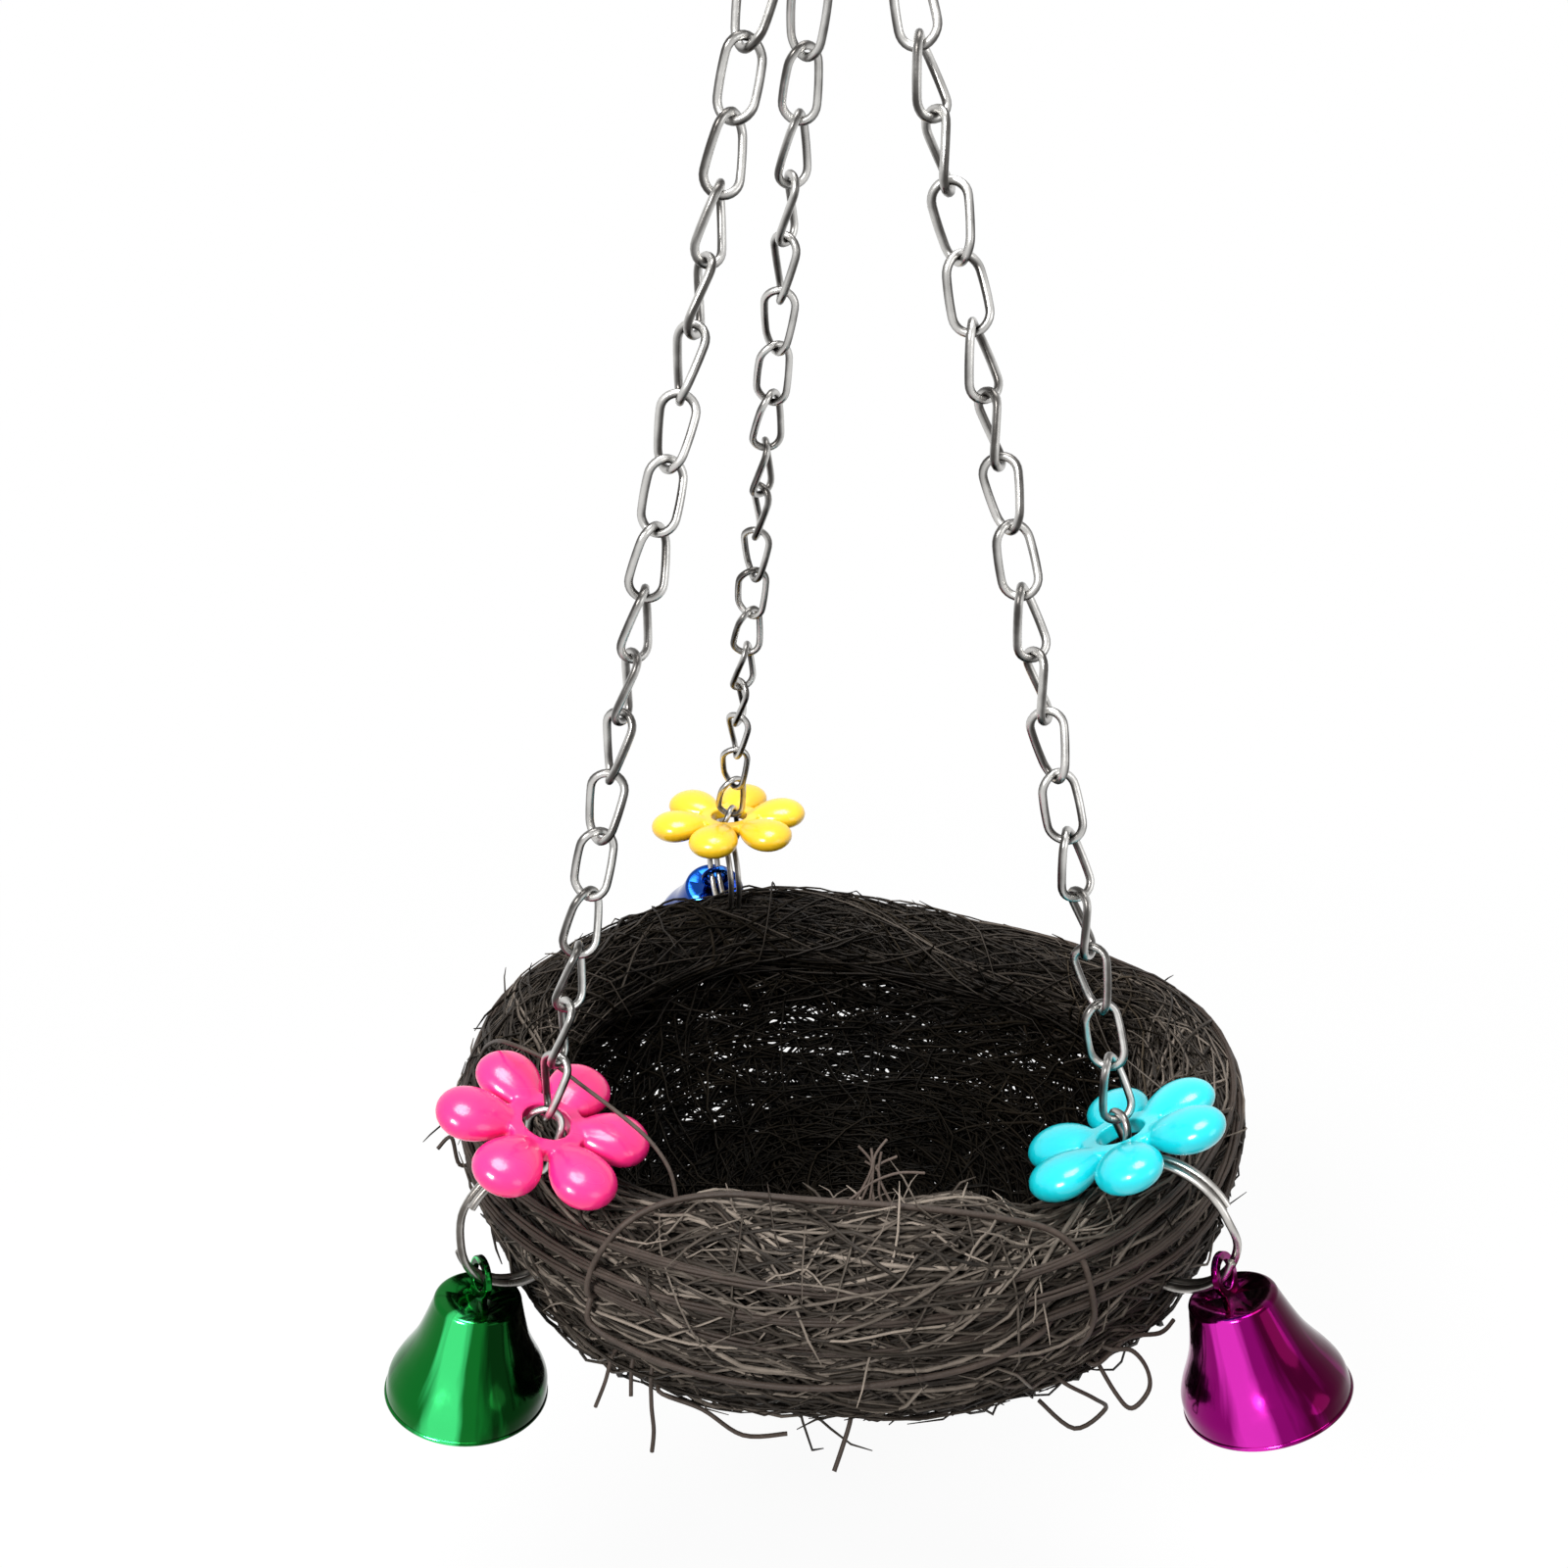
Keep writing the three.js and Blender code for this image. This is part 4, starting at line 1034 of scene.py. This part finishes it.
def strand_tree(net, wires):
    index = net.node("GeometryNodeInputIndex")
    spots = net.node("GeometryNodePoints", {"Count": wires["Count"]})
    numbered = spots.store("strand", index, "INT")
    line = net.node("GeometryNodeCurvePrimitiveLine")
    line = net.node("GeometryNodeResampleCurve", {0: line, "Count": wires["Points"]})
    rows = net.node("GeometryNodeInstanceOnPoints", {0: numbered, "Instance": line})
    rows = net.node("GeometryNodeRealizeInstances", {0: rows})
    strand = net.node("GeometryNodeInputNamedAttribute", {"Name": "strand"}, data_type="INT")
    along = net.node("GeometryNodeSplineParameter") - MID
    salt = [0]

    def chance(low, high):
        salt[0] += 1
        # The node has a row of sockets for each kind of value; these are the floats.
        inputs = {2: low, 3: high, 7: strand, 8: wires["Seed"] + salt[0] * SEED_STEP}
        return net.node("FunctionNodeRandomValue", inputs, out=1, data_type="FLOAT")

    def drift(pace):
        place = net.vector(along * pace + chance(0.0, NOISE_SPAN), chance(0.0, NOISE_SPAN), 0.0)
        return net.noise(place, 1.0, 0.0, "2D") - MID

    def lay(angle, height, round_pace, pace):
        place = net.vector(angle.cos() * round_pace, angle.sin() * round_pace, height * pace)
        return net.noise(place, 1.0, 1.0) - MID

    path = net.node("GeometryNodeObjectInfo", {0: wires["Section"]}, out="Geometry")
    path = net.node("GeometryNodeMeshToCurve", {0: path})

    def section(share, out):
        inputs = {0: path, "Factor": share}
        return net.node("GeometryNodeSampleCurve", inputs, out=out, use_all_curves=True)

    home = chance(wires["From"], wires["To"])
    length = chance(wires["Short"], wires["Long"])
    bearing = wires["Facing"] + chance(-1.0, 1.0) * wires["Spread"]
    patch = lay(bearing, home, PATCH_ROUND, PATCH_ALONG)
    lean = chance(-1.0, 1.0)
    slope = lean * lean.size() * wires["Slope"] + patch * wires["Flow"]
    run = along * length
    reach = section(home, "Position").part(0).most(LEAST_REACH)
    azimuth = bearing + run * slope.cos() / reach
    curl = chance(-1.0, 1.0) * wires["Bend"] * length * (along * along * CURL_WIDE - CURL_LIFT)
    climb = run * slope.sin() + curl + drift(CLIMB_PACE) * wires["Wander"]
    share = home + climb / (SECTION_LENGTH * MM)
    ends = (along.size() * 2.0).step(FLARE_FROM, 1.0)
    flare = ends * chance(0.0, 1.0) ** FLARE_POWER * wires["Flare"]
    near = {}
    for side in SIDES:
        foot = anchors(side)[3] - NEST_CENTRE
        near[side] = (azimuth - atan2(foot.y, foot.x)).cos().step(*ROOM_SPAN)
    free = 1.0 - near["left"] - near["right"] - near["back"]
    room = near["left"] * (ROOM * MM) + near["right"] * (ROOM * MM)
    level = chance(0.0, 1.0)
    depth = wires["Deep"] + level * (wires["High"] - wires["Deep"])
    depth = depth + drift(DEPTH_PACE) * wires["Wander"] * DEPTH_SHARE
    lumps = lay(azimuth, share, LUMP_ROUND, LUMP_ALONG)
    rim = 1.0 - (share - RIM_SHARE).size().step(RIM_NEAR, RIM_FAR)
    depth = depth + flare * free - room * rim
    depth = depth + lumps * (LUMP_HEIGHT * MM)
    depth = depth + (azimuth.sin() * -1.0).most(0.0) ** SWELL_POWER * wires["Swell"]
    spot = section(share, "Position")
    tangent = section(share, "Tangent")
    radius = (spot.part(0) + depth * tangent.part(2)).most(LEAST_RADIUS)
    height = spot.part(2) - depth * tangent.part(0)

    offset = azimuth - radians(SAG_AT)
    away = (offset.math("WRAP", offset, pi, -pi).size() / radians(SAG_SPAN)).least(1.0)
    sag = (away * (pi / 2)).cos() ** 2.0
    rise = (1.0 + height / (NEST_DEPTH * MM)).least(1.0).most(0.0)
    drawn = radius * (1.0 - rise * sag * (SAG_DRAW / NEST_RADIUS))
    sunk = azimuth.sin() * (RIM_TILT * MM) + sag * (SAG_DEPTH * MM)
    wave = (azimuth * float(RIDGE_WAVES)).sin() * radius * (1.0 - rise) * (RIDGE_WANDER / NEST_RADIUS)
    centre = NEST_CENTRE * MM
    place = net.vector(
        drawn * azimuth.cos() + centre.x, drawn * azimuth.sin() + centre.y,
        height - rise * sunk + wave + centre.z,
    )
    rows = net.node("GeometryNodeSetPosition", {0: rows, "Position": place})
    # Painted shade: darker towards the back and towards the bottom.
    painted_shade = (PAINTED_ROUND_LIGHT - azimuth.sin() * PAINTED_BACK_SHADE) * (PAINTED_LOW_LIGHT + rise * PAINTED_RISE_LIGHT)
    # Strands that lie deeper are painted darker: painted shade between the strands.
    pale = chance(0.0, 1.0) ** TONE_POWER * TONE_CHANCE + level * DEPTH_SHADE
    tone = (wires["Dark"] + (wires["Light"] - wires["Dark"]) * pale) * painted_shade
    # The tone holds each strand's own shade by chance and the painted shade.
    rows = rows.store("tone", tone)
    taper = 1.0 - (along.size() * 2.0) ** TAPER_POWER * TAPER
    inputs = {"Resolution": STRAND_SIDES, "Radius": 1.0}
    profile = net.node("GeometryNodeCurvePrimitiveCircle", inputs)
    width = chance(wires["Thin"], wires["Thick"]) * taper
    inputs = {0: rows, 1: profile, "Scale": width, "Fill Caps": True}
    return net.node("GeometryNodeCurveToMesh", inputs)


inputs = {"Section": "Object", "Count": "Int", "Points": "Int", "Seed": "Int"}
STRANDS = make_tree("strands", {**inputs, **dict.fromkeys(FLOATS, "Float")}, strand_tree)
section_line = [(r, 0, h) for r, h in SECTION]
section_object = add_object("section", line_mesh("section", [section_line]))
print("strand tree", len(STRANDS.nodes), "nodes")

# %% [markdown]
# The nest is laid in heaps, from the inside out: a dark core that closes the wall, strands on it, and
# finer ones on the front. The rim's strands follow the rim, and those of the lining lie in all directions.

# %% Strands
# One row for each input of the tree, one column for each heap. Angles are in degrees and lengths in
# millimetres; From and To are shares of the half section, and a Spread of 180 goes all round.
HEAPS = [
    "bowl_core", "bowl_strands", "bowl_front", "rim_core", "rim_strands", "rim_front",
    "lining_strands", "crest_strands", "loose_strands",
]
HEAP_SHARES = {
    "Count": (620, 1350, 1100, 800, 1500, 1000, 1900, 80, 110),
    "Points": (12, 14, 16, 14, 16, 18, 14, 12, 18),
    "Seed": (7, 11, 13, 19, 23, 29, 37, 43, 51),
    "From": (0.04, 0.08, 0.06, 0.39, 0.40, 0.40, 0.54, 0.49, 0.10),
    "To": (0.47, 0.48, 0.46, 0.65, 0.64, 0.60, 0.98, 0.58, 0.60),
    "Bend": (0.05, 0.07, 0.08, 0.04, 0.07, 0.08, 0.10, 0.15, 0.15),
    # The cores are painted darkest: painted shade deep in the wall.
    "Dark": (0.0, 0.05, 0.05, 0.0, 0.05, 0.12, 0.0, 0.3, 0.1),
    "Light": (0.15, 0.8, 0.95, 0.15, 0.85, 1.05, 1.0, 1.1, 0.9),
}
HEAP_ANGLES = {
    "Facing": (0, 0, -90, 0, 0, -90, 0, -86, 0),
    "Spread": (180, 180, 105, 180, 180, 100, 180, 30, 180),
    "Slope": (90, 52, 40, 28, 36, 32, 86, 90, 80),
    "Flow": (46, 57, 57, 34, 50, 50, 69, 57, 29),
}
HEAP_LENGTHS = {
    "Short": (50, 40, 30, 60, 45, 35, 35, 12, 30),
    "Long": (100, 100, 90, 140, 130, 110, 90, 38, 75),
    "Deep": (-5.0, -2.5, -2.0, -8.0, -2.8, -2.6, -3.5, -1.0, -1.0),
    "High": (-1.5, 0.8, 1.2, -1.5, 0.4, 0.3, 0.8, 1.5, 1.5),
    "Swell": (0, 0, 0, 2.0, 2.5, 2.8, 0, 2.8, 0),
    "Wander": (6, 7, 10, 7, 10, 12, 8, 6, 9),
    "Flare": (0, 5, 3, 0, 2, 1.8, 4, 9, 11),
    "Thin": (0.50, 0.25, 0.24, 0.50, 0.25, 0.25, 0.22, 0.18, 0.25),
    "Thick": (0.85, 0.42, 0.44, 0.85, 0.46, 0.47, 0.44, 0.32, 0.42),
}
STANDS_FOR = {
    "bowl_strands": ("fibre", "nest_bowl"), "rim_strands": ("fibre", "nest_rim"),
    "lining_strands": ("fine_fibre", "nest_lining"),
}
for column, name in enumerate(HEAPS):
    values = {key: row[column] for key, row in HEAP_SHARES.items()}
    values.update({key: radians(row[column]) for key, row in HEAP_ANGLES.items()})
    values.update({key: row[column] * MM for key, row in HEAP_LENGTHS.items()})
    values["Material"] = FINE_FIBRE if name == "lining_strands" else FIBRE
    values["Section"] = section_object
    heap = run_tree(name, STRANDS, bpy.data.meshes.new(name), values)
    place_mesh(heap, ROCK)
    settle_on(heap, "nest_swing", *STANDS_FOR.get(name, ("fibre",)))
    print(name, len(heap.data.polygons), "faces")
drop(section_object)

# %% [markdown]
# ## The wound strand
# One thicker strand is wound round the rolled rim and holds the bundle together. It follows the same
# rule as its solid, three loops that climb the roll, with a little wander. Seen close it is a loose twist
# of five fibres.

# %% Wound strand
WOUND_RADIUS, WOUND_LOOPS, WOUND_START, WOUND_FROM, WOUND_TO = 0.9, 3, 60, -25, 47
WOUND_STEPS, WOUND_SWELL, WOUND_TONE = 90, 1.6, 0.4
WOUND_FIBRES, FIBRE_RADIUS, FIBRE_SIDES, WOUND_TWIST = 5, 0.38, 5, 4
# The wander: its size and its waves in each loop, up the roll, off the roll and of each fibre.
CLIMB_WANDER, CLIMB_WAVES, OFF_WANDER, OFF_WAVES, LOOSE, LOOSE_WAVES = 3, 5.3, 0.5, 7.1, 0.35, 2.3


def settle(point):
    """The handmade outline: the rim tilts, and sags and draws in between two chains."""
    angle = atan2(point.y, point.x)
    rise = min(1, max(0, 1 + point.z / NEST_DEPTH))
    away = min(1, abs((degrees(angle) - SAG_AT + 180) % 360 - 180) / SAG_SPAN)
    sag = cos(pi / 2 * away) ** 2
    drawn = 1 - rise * sag * SAG_DRAW / NEST_RADIUS
    sunk = RIM_TILT * sin(angle) + SAG_DEPTH * sag
    reach = hypot(point.x, point.y) / NEST_RADIUS
    wave = RIDGE_WANDER * reach * (1 - rise) * sin(RIDGE_WAVES * angle)
    return Vector((point.x * drawn, point.y * drawn, point.z - rise * sunk + wave)) + NEST_CENTRE


def wound_points(fibre):
    """One fibre of the strand, which twists about the strand's own line."""
    points = []
    total = WOUND_LOOPS * WOUND_STEPS
    for i in range(total + 1):
        u = i / total
        angle = radians(WOUND_START) + 2 * pi * WOUND_LOOPS * u
        wander = CLIMB_WANDER * sin(CLIMB_WAVES * angle)
        climb = radians(WOUND_FROM + (WOUND_TO - WOUND_FROM) * u + wander)
        swell = WOUND_SWELL * max(0, -sin(angle)) ** SWELL_POWER
        off = ROLL_RADIUS + CLEARANCE + WOUND_RADIUS + swell + OFF_WANDER * sin(OFF_WAVES * angle)
        turn = WOUND_TWIST * angle + 2 * pi * fibre / WOUND_FIBRES
        loose = 1 + LOOSE * sin((LOOSE_WAVES + fibre) * angle)
        spread = (WOUND_RADIUS - FIBRE_RADIUS) * loose
        off += spread * cos(turn)
        climb += spread * sin(turn) / off
        reach = roll_centre + off * cos(climb)
        point = reach * cos(angle), reach * sin(angle), off * sin(climb)
        points.append(settle(Vector(point)))
    return points


bundle = [wound_points(fibre) for fibre in range(WOUND_FIBRES)]
wound = wire("rim_winding", bundle, 2 * FIBRE_RADIUS, STRAND, sides=FIBRE_SIDES, tone=WOUND_TONE)
place_mesh(wound, ROCK)
settle_on(wound, "nest_swing", "dark_fibre", "rim_strand")
print("wound strand", len(wound.data.polygons), "faces")

# %% [markdown]
# ## Single strands
# A few strands catch the eye by themselves: two that lie as a long hoop on the front, one that arches
# over a flower bead, a frayed tuft on the crest and twigs whose ends hang free. Each begins inside the
# nest and runs smoothly through a few points.

# %% Single strands
# Thickness, shade, and the points of each strand: bearing in degrees, distance from the nest's axis and
# height over the middle of the rim's roll.
SINGLES = {
    "hoop_strands": (1.2, 0.45, [
        [(235, 80, -6), (235, 86, -3), (235.5, 85, 3), (238, 81, 10), (242, 75, 13), (250, 71, 15),
         (262, 70, 15.5), (275, 71, 15), (287, 75, 13.5), (294, 79, 11), (296.5, 83, 7), (297, 86, 1),
         (297.5, 86, -5), (296, 85, -10), (294, 79, -12)],
        [(235, 80, -1), (235, 86, -5), (237, 87, -9), (250, 88, -10), (265, 88.5, -9), (280, 88, -6.5),
         (290, 86, -4), (295, 80, -3)],
    ]),
    "arched_strand": (0.8, 0.5, [
        [(187, 80, 6), (189, 79, 12), (199, 77, 22), (210, 77, 30), (216, 72.5, 28.5), (222, 69.5, 25),
         (230, 67.5, 21),
         (236, 68, 18.5), (240, 69, 14), (242, 71, 7)],
    ]),
    "frayed_tuft": (0.5, 0.6, [
        [(266, 71, 9), (267.5, 70, 13), (269.5, 68.5, 17), (271, 67, 20.5), (271, 65, 23)],
        [(268, 71, 9), (269, 69.5, 14), (270.5, 68, 18), (271, 66.5, 21), (269, 65, 23.5)],
        [(270, 71, 9), (270.5, 69.5, 14), (271, 68, 18), (271.5, 66, 22), (273.5, 64, 24)],
        [(272, 71, 9), (271.5, 70, 13), (271, 68, 17), (271.5, 66.5, 20), (275, 65, 21)],
        [(274, 71, 9), (273, 69.5, 13), (272, 68.5, 16), (272, 67, 19.5), (270, 66, 21)],
        [(276, 71, 10), (274.5, 70, 13), (273, 68.5, 16), (272, 67, 19), (272.5, 65.5, 22.5)],
        [(264, 71, 11), (266, 70, 14), (268.5, 69, 16), (271, 68, 18), (275, 67, 19), (279, 67, 18.5)],
    ]),
    "hanging_twigs": (0.85, 0.45, [
        [(235, 78, -19), (235, 81, -20), (235, 83.5, -24), (234, 85, -29)],
        [(239, 78, -17), (239, 82, -18), (240, 85, -23)],
        [(242, 78, -17), (242, 82, -18), (243, 85, -23), (244, 87, -27), (244, 88, -31)],
        [(268, 74, -27), (268, 78, -27.5), (267, 81, -31), (266, 84, -34)],
        [(240.5, 73, -27.5), (240.5, 77.5, -28), (247, 76.5, -30.5), (253, 76.5, -35), (259, 74, -36)],
        [(198, 82, -6), (198, 86, -6), (197, 87, -0.5), (197.5, 90, -2)],
        [(301, 79, -16), (302, 84, -15.5), (304.5, 86, -16), (306, 88, -19.5), (306, 89, -23.5),
         (304, 88, -27), (303, 85, -25), (302.5, 79, -20)],
        [(300.5, 78, -19), (300.5, 83, -19), (306, 83, -16.5), (311, 85, -17.5), (314, 85, -17)],
        [(296, 77, -22), (297, 81, -23), (301, 83, -27), (304, 82, -32), (300, 80, -36), (297, 74, -33)],
    ]),
}


def rim_point(bearing, out, up):
    angle = radians(bearing)
    return Vector((out * cos(angle), out * sin(angle), up))


for name, (thickness, tone, rows) in SINGLES.items():
    lines = [smooth_line([settle(rim_point(*point)) for point in row]) for row in rows]
    single = wire(name, lines, thickness, STRAND, sides=6, tone=tone)
    place_mesh(single, ROCK)
    settle_on(single, "nest_swing", "dark_fibre")
    print(name, len(single.data.polygons), "faces")

# %% [markdown]
# ## Size
# The dressed model stands a little proud of the solids; how far is printed for each axis.

# %% Size
visual_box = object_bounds()
for axis in range(3):
    low, high = cad_box[0][axis] - visual_box[0][axis], visual_box[1][axis] - cad_box[1][axis]
    print("XYZ"[axis], "stands out by", round(low / MM, 1), "and", round(high / MM, 1), "mm")
